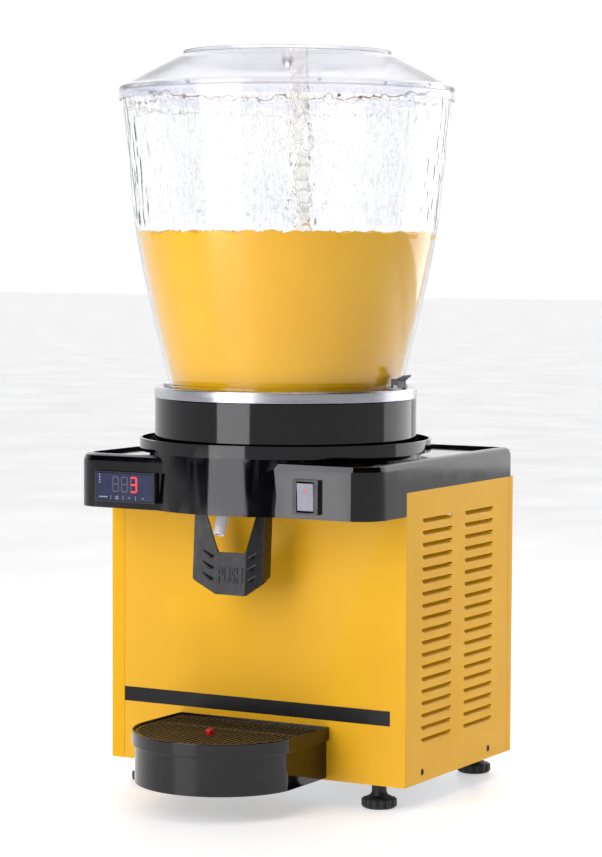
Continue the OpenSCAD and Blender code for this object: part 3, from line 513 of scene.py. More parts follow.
def lathe(name, outline, centre_y, steps=144):
    """Turns a closed outline of (radius, height) about an upright axis."""
    points, rings = [], []
    for radius, height in outline:
        if radius < 1e-6:
            rings.append([len(points)] * steps)
            points.append((0, centre_y, height))
            continue
        rings.append(list(range(len(points), len(points) + steps)))
        for k in range(steps):
            a = 2 * math.pi * k / steps
            points.append((radius * math.cos(a), centre_y + radius * math.sin(a), height))
    faces = []
    for ring, above in zip(rings, rings[1:] + rings[:1]):
        for k in range(steps):
            n = (k + 1) % steps
            corners = list(dict.fromkeys((ring[k], ring[n], above[n], above[k])))
            if len(corners) > 2:
                faces.append(corners)
    return outward(raw_piece(name, points, faces))


print("helpers ready")

# %% [markdown]
# ## Two Geometry Nodes stamps
# Most of what repeats on this machine repeats in rows or in a ring. So two node trees do the work of
# many loops. Each takes a stamp, an object that holds one louvre, rib or notch, sets out copies, makes
# them real and gives them their finish. The rows tree also welds them to what they touch.

# %% Stamps in rows and in a ring


def new_tree(name, inputs):
    """An empty Geometry Nodes tree with named inputs, each (name, kind, value)."""
    tree = bpy.data.node_groups.new(name, "GeometryNodeTree")
    tree.interface.new_socket("Geometry", in_out="OUTPUT", socket_type="NodeSocketGeometry")
    tree.interface.new_socket("Geometry", in_out="INPUT", socket_type="NodeSocketGeometry")
    for label, kind, value in inputs:
        socket = tree.interface.new_socket(label, in_out="INPUT", socket_type="NodeSocket" + kind)
        if value is not None:
            socket.default_value = value
    return tree, tree.nodes.new("NodeGroupInput").outputs, tree.nodes.new("NodeGroupOutput").inputs[0]


def close_tree(tree, geometry, material, end):
    done = put(tree, "GeometryNodeSetMaterial", {"Geometry": geometry, "Material": material})[0]
    tree.links.new(done, end)
    return tree


def grow(piece, tree, values):
    """Runs a tree on a piece with these inputs, and settles the result."""
    change = piece.modifiers.new(tree.name, "NODES")
    change.node_group = tree
    for item in tree.interface.items_tree:
        if item.in_out == "INPUT" and item.name in values:
            change[item.identifier] = values[item.name]
    return settle(piece)


def rows_tree():
    tree, given, end = new_tree("stamp_in_rows", [("Stamp", "Object", None), ("Columns", "Int", 1),
        ("Column pitch", "Float", 0.1), ("Rows", "Int", 1), ("Row pitch", "Float", 0.01),
        ("Weld", "Float", 0.00002), ("Material", "Material", None)])
    across = put(tree, "ShaderNodeCombineXYZ", {"X": given["Column pitch"]})[0]
    up = put(tree, "ShaderNodeCombineXYZ", {"Y": given["Row pitch"]})[0]
    columns = put(tree, "GeometryNodeMeshLine", {"Count": given["Columns"], "Offset": across})[0]
    rows = put(tree, "GeometryNodeMeshLine", {"Count": given["Rows"], "Offset": up})[0]
    spots = put(tree, "GeometryNodeInstanceOnPoints", {"Points": columns, "Instance": rows})[0]
    spots = put(tree, "GeometryNodeRealizeInstances", {"Geometry": spots})[0]
    stamp = put(tree, "GeometryNodeObjectInfo", {"Object": given["Stamp"]})["Geometry"]
    copies = put(tree, "GeometryNodeInstanceOnPoints", {"Points": spots, "Instance": stamp})[0]
    copies = put(tree, "GeometryNodeRealizeInstances", {"Geometry": copies})[0]
    both = tree.nodes.new("GeometryNodeJoinGeometry")
    tree.links.new(copies, both.inputs[0])
    tree.links.new(given["Geometry"], both.inputs[0])
    welded = put(tree, "GeometryNodeMergeByDistance",
        {"Geometry": both.outputs[0], "Distance": given["Weld"]})[0]
    return close_tree(tree, welded, given["Material"], end)


def ring_tree():
    tree, given, end = new_tree("stamp_in_a_ring", [("Stamp", "Object", None), ("Count", "Int", 8),
        ("First angle", "Float", 0.0), ("Material", "Material", None)])
    spots = put(tree, "GeometryNodeMeshLine", {"Count": given["Count"], "Offset": (0, 0, 0)})[0]
    number = put(tree, "GeometryNodeInputIndex")[0]
    step = calc(tree, "DIVIDE", 2 * math.pi, given["Count"])
    angle = calc(tree, "MULTIPLY_ADD", number, step, given["First angle"])
    turn = put(tree, "ShaderNodeCombineXYZ", {"Z": angle})[0]
    stamp = put(tree, "GeometryNodeObjectInfo", {"Object": given["Stamp"]})["Geometry"]
    copies = put(tree, "GeometryNodeInstanceOnPoints",
        {"Points": spots, "Instance": stamp, "Rotation": turn})[0]
    copies = put(tree, "GeometryNodeRealizeInstances", {"Geometry": copies})[0]
    both = tree.nodes.new("GeometryNodeJoinGeometry")
    tree.links.new(copies, both.inputs[0])
    tree.links.new(given["Geometry"], both.inputs[0])
    return close_tree(tree, both.outputs[0], given["Material"], end)


ROWS = rows_tree()
RING = ring_tree()


def drop(stamp):
    """A stamp is only a pattern, so it leaves the scene when it has been used."""
    bpy.data.objects.remove(stamp)


print("trees:", ROWS.name, RING.name)

# %% [markdown]
# ## Pressed louvres
# A press pushes each louvre into the sheet: flush at its lower edge, deepest at its upper edge, where
# the metal is cut, and rounded into the sheet at both ends. The stamp is one such louvre in its own
# field of flat sheet. The rows tree welds nineteen of them by two into a sheet whose lines match theirs.

# %% One louvre and the flat sheet around it
SHEET = 1.2
LOUVRE_PITCH = 12.4
LOUVRE_ROWS = 19
LOUVRE_FIRST = 64.5
LOUVRE_CUT = 5.6
LOUVRE_DEEP = 5.0
LOUVRE_YS = (35.5, 132.8)
LOUVRE_ACROSS = [-1, 0, 0.8, 1.8, 3, 4.4, 6, 8, 59, 61, 62.6, 64, 65.2, 66.2, 67, 68]
LOUVRE_UP = [-1.2, -0.4, 0.5, 1.3, 2.1, 2.9, 3.6, 4.1]


def ease(t):
    t = min(max(t, 0.0), 1.0)
    return t * t * (3 - 2 * t)


def louvre_stamp():
    """One pressed louvre in its field. Depth is along +Z here, towards the inside of the cabinet."""
    wide = LOUVRE_ACROSS[-2]
    points, faces = [], []

    def row(height, pressed):
        first = len(points)
        for u in LOUVRE_ACROSS:
            end = ease(min(u, wide - u) / 7.5)
            lift = ease((height + 0.4) / (LOUVRE_UP[-1] + 0.9)) if pressed else 0
            points.append((u, height, LOUVRE_DEEP * end * lift))
        return first

    def strip(low, high):
        for k in range(len(LOUVRE_ACROSS) - 1):
            faces.append((low + k, low + k + 1, high + k + 1, high + k))

    rows = [row(v, True) for v in LOUVRE_UP]
    for low, high in zip(rows, rows[1:]):
        strip(low, high)
    flush, above = row(LOUVRE_CUT, False), row(LOUVRE_PITCH + LOUVRE_UP[0], False)
    strip(flush, above)
    for k in (0, len(LOUVRE_ACROSS) - 2):
        faces.append((rows[-1] + k, rows[-1] + k + 1, flush + k + 1, flush + k))
    return raw_piece("louvre_stamp", points, faces, from_front=False)


def flat_sheet(name, across, up, fields):
    """A sheet of quads over two lists of lines, left open where a stamped field will go."""
    across, up = sorted(set(round(v, 3) for v in across)), sorted(set(round(v, 3) for v in up))
    points = [(u, v, 0) for v in up for u in across]
    faces = []
    for j in range(len(up) - 1):
        for i in range(len(across) - 1):
            u, v = (across[i] + across[i + 1]) / 2, (up[j] + up[j + 1]) / 2
            if not any(a < u < b and c < v < d for a, b, c, d in fields):
                k = j * len(across) + i
                faces.append((k, k + 1, k + 1 + len(across), k + len(across)))
    piece = raw_piece(name, points, faces, from_front=False)
    work = bmesh.new()
    work.from_mesh(piece.data)
    bmesh.ops.delete(work, geom=[v for v in work.verts if not v.link_faces], context="VERTS")
    work.to_mesh(piece.data)
    work.free()
    return piece


def louvre_lines(starts):
    """The lines that the sheet needs so that the stamped fields weld to it, and the fields' boxes."""
    top = LOUVRE_FIRST + (LOUVRE_ROWS - 1) * LOUVRE_PITCH + LOUVRE_PITCH + LOUVRE_UP[0]
    across = [s + u for s in starts for u in LOUVRE_ACROSS]
    up = [LOUVRE_FIRST + i * LOUVRE_PITCH + v for i in range(LOUVRE_ROWS)
        for v in LOUVRE_UP + [LOUVRE_CUT]] + [top]
    fields = [(s + LOUVRE_ACROSS[0], s + LOUVRE_ACROSS[-1], up[0], top) for s in starts]
    return across, up, fields


def stamp_at(sheet, stamp, u, v, columns, pitch_u, rows, pitch_v):
    stamp.data.transform(Matrix.Translation((u * MM, v * MM, 0)))
    grow(sheet, ROWS, {"Stamp": stamp, "Columns": columns, "Column pitch": pitch_u * MM, "Rows": rows,
        "Row pitch": pitch_v * MM, "Material": FINISH["yellow_powder_coat"]})
    drop(stamp)


def slot_stamp(wide, tall, pitch):
    """A round-ended slot in its rectangle of flat sheet, which is one pitch high."""
    r, margin = tall / 2, 1.0
    border = [(-margin, -margin), (wide + margin, -margin), (wide + margin, pitch - margin),
        (-margin, pitch - margin)]
    hole = []
    for centre, start in ((r, 90), (wide - r, -90)):
        for k in range(9):
            a = math.radians(start + k * 22.5)
            hole.append((centre + r * math.cos(a), r + r * math.sin(a)))
    work = bmesh.new()
    for loop in (border, hole):
        corners = [work.verts.new((u * MM, v * MM, 0)) for u, v in loop]
        for a, b in zip(corners, corners[1:] + corners[:1]):
            work.edges.new((a, b))
    bmesh.ops.remove_doubles(work, verts=work.verts, dist=0.001 * MM)
    bmesh.ops.triangle_fill(work, use_beauty=True, edges=work.edges, normal=(0, 0, 1))
    piece = piece_from(work, "slot_stamp")
    return piece


def thicken_and_bend(sheet, follow, border):
    """Gives the flat sheet its thickness, rounds its outer edges and carries it onto the cabinet."""
    wall = sheet.modifiers.new("sheet steel", "SOLIDIFY")
    wall.thickness = SHEET * MM
    wall.offset = 1.0
    settle(sheet)
    work = bmesh.new()
    work.from_mesh(sheet.data)
    rim = [e for e in work.edges if len(e.link_faces) == 2 and e.calc_face_angle(0) > 1.2
        and all(border(v.co.x / MM, v.co.y / MM) for v in e.verts)]
    bmesh.ops.bevel(work, geom=rim, offset=0.3 * MM, segments=2, profile=0.5, affect="EDGES",
        clamp_overlap=True)
    for v in work.verts:
        x, y, z = follow(v.co.x / MM, v.co.y / MM, v.co.z / MM)
        v.co = Vector((x, y + front_y, z)) * MM
    bmesh.ops.recalc_face_normals(work, faces=work.faces)
    work.to_mesh(sheet.data)
    work.free()
    return shade(sheet, 42)


print(f"louvre field {LOUVRE_ACROSS[-1] - LOUVRE_ACROSS[0]} by {LOUVRE_PITCH} mm")

# %% [markdown]
# The right side is one removable panel, held by two screws. Its sheet is flat, so carrying it onto the
# cabinet only turns it: across becomes depth, and the press direction becomes the inside.

# %% Right side panel
PANEL_START = 1.5
PANEL_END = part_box("side_panel")[1].y / MM - front_y
SCREW_YS = (38.7, 193.3)
SCREW_Z = 35.6

SCREW_HOLE = 7.6

lines_u, lines_v, fields = louvre_lines(LOUVRE_YS)
screw_low, reach = SCREW_Z - SCREW_HOLE / 2 - 1, SCREW_HOLE + 2
screw_starts = [y - SCREW_HOLE / 2 - 1 for y in SCREW_YS]
lines_u += [PANEL_START, PANEL_END] + [y + e for y in screw_starts for e in (0, reach)]
lines_v += [panel_low, panel_high, screw_low, screw_low + reach]
fields += [(y, y + reach, screw_low, screw_low + reach) for y in screw_starts]
side = flat_sheet("side_panel_piece", lines_u, lines_v, fields)
stamp_at(side, slot_stamp(SCREW_HOLE, SCREW_HOLE, reach), screw_starts[0] + 1, screw_low + 1, 2,
    SCREW_YS[1] - SCREW_YS[0], 1, 10)
stamp_at(side, louvre_stamp(), LOUVRE_YS[0], LOUVRE_FIRST, 2, LOUVRE_YS[1] - LOUVRE_YS[0], LOUVRE_ROWS,
    LOUVRE_PITCH)


def near(value, *edges):
    return any(abs(value - e) < 0.01 for e in edges)


thicken_and_bend(side, lambda u, v, w: (half_width - w, u, v),
    lambda u, v: near(u, PANEL_START, PANEL_END) or near(v, panel_low, panel_high))
stand_for(side, "side_panel")
print(f"side panel: {len(side.data.polygons)} faces")

# %% [markdown]
# The rest of the cabinet is one long sheet folded three times: a narrow return at the front, the left
# side, the rear, and a strip on the right that the panel meets. The flat sheet is stamped first and
# folded after, as in the workshop. The rear has plain rounded slots for the warm air.

# %% Folded wrap
FOLD = 2.0
SEAM_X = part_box("front_panel")[0].x / MM - 0.3
RETURN = SEAM_X + half_width
STRIP = 12.0
LEGS = (RETURN - FOLD, cabinet_depth - 2 * FOLD, 2 * half_width - 2 * FOLD, STRIP - FOLD)
ARC = FOLD * math.pi / 2
SLOT_ROWS = 10
SLOT_PITCH = 12.0
SLOT_FIRST = 180.0
SLOT_TALL = 5.0
SLOT_WIDE = 66.0
SLOT_XS = (-107.0, -33.0, 41.0)


def around(u, v, w):
    """The point at a distance along the folded path, at a height, and at a depth inside the outer face."""
    x, y, heading = SEAM_X, 0.0, 180.0
    for leg in LEGS:
        if u <= leg or leg is LEGS[-1]:
            a = math.radians(heading)
            x, y = x + u * math.cos(a), y + u * math.sin(a)
            break
        a, inward = math.radians(heading), math.radians(heading - 90)
        x, y, u = x + leg * math.cos(a), y + leg * math.sin(a), u - leg
        cx, cy = x + FOLD * math.cos(inward), y + FOLD * math.sin(inward)
        turned = min(u / ARC, 1.0) * 90
        out = math.radians(heading + 90 - turned)
        x, y = cx + FOLD * math.cos(out), cy + FOLD * math.sin(out)
        heading -= turned
        if u <= ARC:
            break
        u -= ARC
    inward = math.radians(heading - 90)
    return x + w * math.cos(inward), y + w * math.sin(inward), v


side_start = LEGS[0] + ARC - FOLD
rear_start = LEGS[0] + LEGS[1] + 2 * ARC - FOLD + half_width
fold_starts = [LEGS[0], LEGS[0] + ARC + LEGS[1], LEGS[0] + LEGS[1] + LEGS[2] + 2 * ARC]
total = sum(LEGS) + 3 * ARC
lines_u, lines_v, fields = louvre_lines([side_start + y for y in LOUVRE_YS])
lines_u += [0, total] + [s + ARC * k / 4 for s in fold_starts for k in range(5)]
lines_u += [rear_start + x + e for x in SLOT_XS for e in (-1, SLOT_WIDE + 1)]
slot_top = SLOT_FIRST + SLOT_ROWS * SLOT_PITCH - 1
lines_v += [panel_low, panel_high, SLOT_FIRST - 1, slot_top]
fields += [(rear_start + x - 1, rear_start + x + SLOT_WIDE + 1, SLOT_FIRST - 1, slot_top) for x in SLOT_XS]
wrap = flat_sheet("body_wrap_piece", lines_u, lines_v, fields)
stamp_at(wrap, louvre_stamp(), side_start + LOUVRE_YS[0], LOUVRE_FIRST, 2, LOUVRE_YS[1] - LOUVRE_YS[0],
    LOUVRE_ROWS, LOUVRE_PITCH)
stamp_at(wrap, slot_stamp(SLOT_WIDE, SLOT_TALL, SLOT_PITCH), rear_start + SLOT_XS[0], SLOT_FIRST, 3,
    SLOT_XS[1] - SLOT_XS[0], SLOT_ROWS,
    SLOT_PITCH)
thicken_and_bend(wrap, around, lambda u, v: near(u, 0, total) or near(v, panel_low, panel_high))
stand_for(wrap, "body_wrap")
print(f"wrap: {total:.0f} mm of sheet, {len(wrap.data.polygons)} faces")

# %% [markdown]
# ## Round parts of the cooling head
# The collar, the steel pan and the tank are bodies of revolution, so each is one outline turned on the
# lathe. Corners get real radii, because a bright line along a rounded edge is what makes a moulding
# look moulded. The wall of the tank swells along a smooth curve and then runs straight to its rim.

# %% Collar and pan
collar_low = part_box("collar_ring")[0].z / MM
collar_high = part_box("collar_ring")[1].z / MM
pan_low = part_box("evaporator_pan")[0].z / MM
rim_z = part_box("evaporator_pan")[1].z / MM
rim_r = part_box("evaporator_pan")[1].x / MM
COLLAR_BORE = 133.8
PAN_R = 124.0

collar = lathe("collar_ring_piece", filleted([(COLLAR_BORE, collar_low, 0.5), (rim_r + 1.5, collar_low, 0.5),
    (rim_r + 1.5, collar_low + 3, 1.2), (rim_r - 0.5, collar_low + 3, 0.8), (rim_r - 0.5, collar_high, 1.0),
    (COLLAR_BORE, collar_high, 0.5)]), tank_y, 192)
stand_for(shade(collar), "collar_ring")

pan = lathe("evaporator_pan_piece", filleted([(0, pan_low, 0), (PAN_R + 1, pan_low, 4),
    (PAN_R + 1, rim_z - 1, 0.4),
    (rim_r - 1, rim_z - 1, 0.6), (rim_r - 1, collar_high, 0.2), (rim_r, collar_high, 0.4),
    (rim_r, rim_z, 1.8),
    (PAN_R, rim_z, 1.2), (PAN_R, pan_low + 1, 3), (0, pan_low + 1, 0)]), tank_y, 192)
drain = lathe("drain_cutter", [(0, pan_low - 3), (7.1, pan_low - 3), (7.1, pan_low + 5),
    (0, pan_low + 5)], -52.0, 32)
cut = pan.modifiers.new("drain hole", "BOOLEAN")
cut.object = drain
cut.operation = "DIFFERENCE"
settle(pan)
drop(drain)
stand_for(shade(pan), "evaporator_pan")
print(f"collar {collar_low:.0f} to {collar_high:.1f} mm, pan rim at {rim_z:.0f} mm")

# %% [markdown]
# The tank is open below: a plug inside the pan, a foot flange that rests on the rim, and the wall. The
# drink fills both pan and tank. Its surface is stirred by the fountain, so the flat top gets low ripples.
# They are a sum of a few crossing waves, higher towards the wall, and the same on every run.

# %% Tank and drink
JUICE_Z = 580.0
TANK_WALL = 3.5
PLUG_R = 121.2
PLUG_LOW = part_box("tank")[0].z / MM
TANK_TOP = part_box("tank")[1].z / MM
TANK_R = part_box("tank")[1].x / MM
FOOT_R = 127.5
FOOT_LOW = rim_z + 0.3
WALL_CURVE = [Vector((121.5, FOOT_LOW + 3)), Vector((136.3, 480)), Vector((155.8, 565)),
    Vector((159.3, 600))]


def wall_at(t):
    """A point on the tank's outer wall, (radius, height), t from 0 at the foot to 1."""
    a, b, c, d = WALL_CURVE
    return a * (1 - t) ** 3 + b * 3 * t * (1 - t) ** 2 + c * 3 * t * t * (1 - t) + d * t ** 3


def wall_radius(height):
    """The outer radius of the tank's wall at any height."""
    if height >= WALL_CURVE[3].y:
        share = (height - WALL_CURVE[3].y) / (TANK_TOP - WALL_CURVE[3].y)
        return WALL_CURVE[3].x + share * (TANK_R - WALL_CURVE[3].x)
    low, high = 0.0, 1.0
    for _ in range(30):
        middle = (low + high) / 2
        low, high = (middle, high) if wall_at(middle).y < height else (low, middle)
    return wall_at(low).x


FILM_LOW = JUICE_Z + 3
FILM_HIGH = TANK_TOP - 5
wall = [wall_at(k / 24) for k in range(25)]
outer = [(p.x, p.y) for p in wall] + [(wall_radius(z), z) for z in (640, 680)]
film_heights = [FILM_HIGH - (FILM_HIGH - FILM_LOW) * k / 60 for k in range(61)]
inner = [(wall_radius(z) - TANK_WALL, z) for z in film_heights]
inner += [(p.x - TANK_WALL, p.y) for p in wall[::-1] if p.y < FILM_LOW - 2]
rim = filleted([(TANK_R - 4.4, TANK_TOP - 20, 0), (TANK_R - 0.5, TANK_TOP - 20, 0), (TANK_R, TANK_TOP, 1.4),
    (TANK_R - TANK_WALL, TANK_TOP, 1.4)])[1:]
foot = filleted([(PLUG_R - TANK_WALL, FOOT_LOW, 0), (PLUG_R - TANK_WALL, PLUG_LOW, 1.2),
    (PLUG_R, PLUG_LOW, 1.2),
    (PLUG_R, FOOT_LOW, 0.4), (FOOT_R, FOOT_LOW, 1.0), (FOOT_R, FOOT_LOW + 3, 1.2),
    (PLUG_R + 1.5, FOOT_LOW + 3, 0)])
tank = lathe("tank_piece", foot[:-1] + outer + rim[1:] + inner, tank_y, 384)
stand_for(shade(tank, 50), "tank")


def ripple(x, y):
    """Height of the stirred surface, in millimetres, from a few crossing waves."""
    r = math.hypot(x, y)
    a = math.atan2(y, x)
    rough = 0.5 + 1.3 * ease((r - 60) / 90)
    return rough * (0.5 * math.sin(0.21 * x + 0.13 * y) + 0.4 * math.sin(0.33 * y - 0.18 * x + 1.3)
        + 0.45 * math.sin(19 * a + 0.2 * r) + 0.35 * math.sin(43 * a + 1.0))


pan_inside = PAN_R - 0.3
top_r = wall_radius(JUICE_Z) - TANK_WALL - 0.05
juice_side = [(0, pan_low + 1.3), (pan_inside, pan_low + 1.3), (pan_inside, PLUG_LOW),
    (PLUG_R - TANK_WALL, PLUG_LOW),
    (PLUG_R - TANK_WALL, FOOT_LOW)]
juice_side += [(p.x - TANK_WALL - 0.05, p.y) for p in wall if p.y < JUICE_Z - 4]
juice_top = [(top_r - 150.0 * k / 50, JUICE_Z) for k in range(51)] + [(0, JUICE_Z)]
juice = lathe("juice_piece", juice_side + juice_top, tank_y, 192)
for v in juice.data.vertices:
    if v.co.z > (JUICE_Z - 0.5) * MM:
        v.co.z += ripple(v.co.x / MM, v.co.y / MM - front_y - tank_y) * MM
stand_for(shade(juice, 60), "juice")
print(f"tank holds drink to {JUICE_Z:.0f} mm, radius {top_r:.1f} mm there")

# %% [markdown]
# ## Running film, beads, froth and the fountain
# The pump throws a column of drink against the lid. From there it runs down the inside of the wall in
# streaks, hangs in beads under the lid, and froths where it meets the surface. Wall and wet film look
# like one clear body, so the film is the wall's inner face, pushed inwards by a noise that is stretched
# into streaks. One body less also means fewer faces for the light to bend at. The beads are scattered
# round a ring with a fixed seed, and the fountain is a curve with a wandering skin.

# %% Liquid trees


def film_tree():
    tree, given, end = new_tree("running_film", [("Depth", "Float", 0.001), ("Streak width", "Float", 150.0),
        ("Streak length", "Float", 34.0), ("Axis Y", "Float", 0.0), ("Low", "Float", 0.5),
        ("High", "Float", 0.7),
        ("Seed", "Float", 3.0), ("Material", "Material", None)])
    place = put(tree, "GeometryNodeInputPosition")[0]
    scale = put(tree, "ShaderNodeCombineXYZ", {"X": given["Streak width"], "Y": given["Streak width"],
        "Z": given["Streak length"]})[0]
    where = vector(tree, "MULTIPLY", place, scale)
    pattern = put(tree, "ShaderNodeTexNoise",
        {"Vector": where, "W": given["Seed"], "Scale": 1.0, "Detail": 4.0,
        "Distortion": 0.6}, noise_dimensions="4D")[0]
    push = put(tree, "ShaderNodeMapRange", {"Value": pattern, "From Min": 0.48, "From Max": 0.72})["Result"]
    push = calc(tree, "MULTIPLY", push, given["Depth"])
    axis = put(tree, "ShaderNodeCombineXYZ", {"Y": given["Axis Y"]})[0]
    level = vector(tree, "MULTIPLY", place, (1, 1, 0))
    spoke = vector(tree, "SUBTRACT", axis, level)
    inward = vector(tree, "NORMALIZE", spoke)
    facing = put(tree, "ShaderNodeVectorMath", {0: inward, 1: put(tree, "GeometryNodeInputNormal")[0]},
        operation="DOT_PRODUCT")["Value"]
    height = put(tree, "ShaderNodeSeparateXYZ", {0: place})["Z"]
    above = put(tree, "ShaderNodeMapRange", {"Value": height, "From Min": given["Low"],
        "From Max": calc(tree, "ADD", given["Low"], 0.008)})["Result"]
    below = put(tree, "ShaderNodeMapRange", {"Value": height, "From Min": given["High"],
        "From Max": calc(tree, "SUBTRACT", given["High"], 0.004)})["Result"]
    within = calc(tree, "MULTIPLY", above, below)
    push = calc(tree, "MULTIPLY", push, within)
    chosen = put(tree, "FunctionNodeCompare", {"A": facing, "B": 0.5}, operation="GREATER_THAN")[0]
    offset = put(tree, "ShaderNodeVectorMath", {0: inward, "Scale": push}, operation="SCALE")[0]
    moved = put(tree, "GeometryNodeSetPosition", {"Geometry": given["Geometry"], "Selection": chosen,
        "Offset": offset})[0]
    return close_tree(tree, moved, given["Material"], end)


def bead_tree():
    tree, given, end = new_tree("beads_on_a_ring", [("Count", "Int", 100), ("Radius", "Float", 0.15),
        ("Height", "Float", 0.5), ("Spread", "Float", 0.002), ("Smallest", "Float", 0.0006),
        ("Largest", "Float", 0.002), ("Flatten", "Float", 0.6), ("Seed", "Int", 1),
        ("Material", "Material", None)])
    ring = put(tree, "GeometryNodeMeshCircle", {"Vertices": given["Count"], "Radius": given["Radius"]})[0]
    low = put(tree, "ShaderNodeVectorMath", {0: (-1, -1, -1), "Scale": given["Spread"]},
        operation="SCALE")[0]
    high = put(tree, "ShaderNodeVectorMath", {0: (1, 1, 1), "Scale": given["Spread"]}, operation="SCALE")[0]
    stray = put(tree, "FunctionNodeRandomValue", {"Min": low, "Max": high, "Seed": given["Seed"]},
        data_type="FLOAT_VECTOR")[0]
    lift = put(tree, "ShaderNodeCombineXYZ", {"Z": given["Height"]})[0]
    offset = vector(tree, "ADD", stray, lift)
    spots = put(tree, "GeometryNodeSetPosition", {"Geometry": ring, "Offset": offset})[0]
    size = put(tree, "FunctionNodeRandomValue",
        {2: given["Smallest"], 3: given["Largest"], "Seed": given["Seed"]},
        data_type="FLOAT")[1]
    tall = calc(tree, "MULTIPLY", size, given["Flatten"])
    shape = put(tree, "ShaderNodeCombineXYZ", {"X": size, "Y": size, "Z": tall})[0]
    bead = put(tree, "GeometryNodeMeshIcoSphere", {"Radius": 1.0, "Subdivisions": 2})[0]
    beads = put(tree, "GeometryNodeInstanceOnPoints", {"Points": spots, "Instance": bead, "Scale": shape})[0]
    beads = put(tree, "GeometryNodeRealizeInstances", {"Geometry": beads})[0]
    smooth = put(tree, "GeometryNodeSetShadeSmooth", {"Geometry": beads})[0]
    return close_tree(tree, smooth, given["Material"], end)


def fountain_tree():
    tree, given, end = new_tree("fountain", [("Height", "Float", 0.18), ("Lean", "Float", 0.012),
        ("Radius", "Float", 0.01), ("Wander", "Float", 0.004), ("Seed", "Float", 5.0),
        ("Material", "Material", None)])
    lean = calc(tree, "MULTIPLY", given["Lean"], -1.0)
    top = put(tree, "ShaderNodeCombineXYZ", {"Y": lean, "Z": given["Height"]})[0]
    line = put(tree, "GeometryNodeCurvePrimitiveLine", {"End": top})[0]
    line = put(tree, "GeometryNodeResampleCurve", {"Curve": line, "Count": 130})[0]
    section = put(tree, "GeometryNodeCurvePrimitiveCircle", {"Resolution": 28, "Radius": given["Radius"]})[0]
    column = put(tree, "GeometryNodeCurveToMesh",
        {"Curve": line, "Profile Curve": section, "Fill Caps": True})[0]
    place = put(tree, "GeometryNodeInputPosition")[0]
    stretched = vector(tree, "MULTIPLY", place, (210, 210, 150))
    pattern = put(tree, "ShaderNodeTexNoise", {"Vector": stretched, "W": given["Seed"], "Scale": 1.0,
        "Detail": 3.0}, noise_dimensions="4D")["Color"]
    centred = vector(tree, "SUBTRACT", pattern, (0.5, 0.5, 0.5))
    level = vector(tree, "MULTIPLY", centred, (2, 2, 0))
    offset = put(tree, "ShaderNodeVectorMath", {0: level, "Scale": given["Wander"]}, operation="SCALE")[0]
    moved = put(tree, "GeometryNodeSetPosition", {"Geometry": column, "Offset": offset})[0]
    return close_tree(tree, moved, given["Material"], end)


print("liquid trees ready")

# %% Film, beads, froth and fountain
grow(tank, film_tree(), {"Depth": 0.9 * MM, "Axis Y": (front_y + tank_y) * MM, "Low": FILM_LOW * MM,
    "High": FILM_HIGH * MM, "Material": FINISH["clear_tank"]})
shade(tank, 50)


def beads(name, finish, **values):
    """One ring of beads on the tank's axis."""
    piece = raw_piece(name, [], [])
    inputs = {key.replace("_", " "): value for key, value in values.items()}
    inputs["Material"] = FINISH[finish]
    grow(piece, bead_tree(), inputs)
    piece.data.transform(Matrix.Translation((0, (front_y + tank_y) * MM, 0)))
    return join_in(piece, finish, "tank", "orange_juice" if finish == "froth" else "clear_tank")


beads("hanging_beads", "running_drink", Count=260, Radius=(wall_radius(710) - TANK_WALL - 1.2) * MM,
    Height=710 * MM, Spread=1.6 * MM, Smallest=0.9 * MM, Largest=2.3 * MM, Flatten=0.8, Seed=4)
beads("froth_ring", "froth", Count=420, Radius=(top_r - 2.4) * MM, Height=(JUICE_Z + 0.4) * MM,
    Spread=1.4 * MM,
    Smallest=0.4 * MM, Largest=1.4 * MM, Flatten=0.7, Seed=9)

riser_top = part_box("pump_housing")[1].z / MM
pump_y = (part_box("pump_housing")[0].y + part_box("pump_housing")[1].y) / 2 / MM - front_y
lid_inside = 758.0
fountain = raw_piece("fountain_column", [], [])
grow(fountain, fountain_tree(), {"Height": (lid_inside - riser_top) * MM, "Lean": 13 * MM,
    "Radius": 9.5 * MM,
    "Wander": 3.4 * MM, "Material": FINISH["running_drink"]})
fountain.data.transform(Matrix.Translation((0, (front_y + pump_y) * MM, riser_top * MM)))
join_in(shade(fountain, 60), "running_drink", "tank", "clear_tank")
print(f"wet tank {len(tank.data.polygons)} faces, fountain from {riser_top:.0f} mm to the lid")

# %% [markdown]
# ## Lid
# The lid is a shallow cone with a raised ring at its flat top and a skirt that hangs over the tank. Its
# moulding has a small notch at every eighth of a turn on the shoulder of the skirt, made by the ring
# tree from one wedge, and a little cone under the middle where the fountain strikes.

# %% Lid
LID_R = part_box("lid")[1].x / MM
SKIRT_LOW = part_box("lid")[0].z / MM
LID_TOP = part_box("lid")[1].z / MM
SHOULDER = 730.0
CAP_R = 108.0
CAP_Z = 763.0

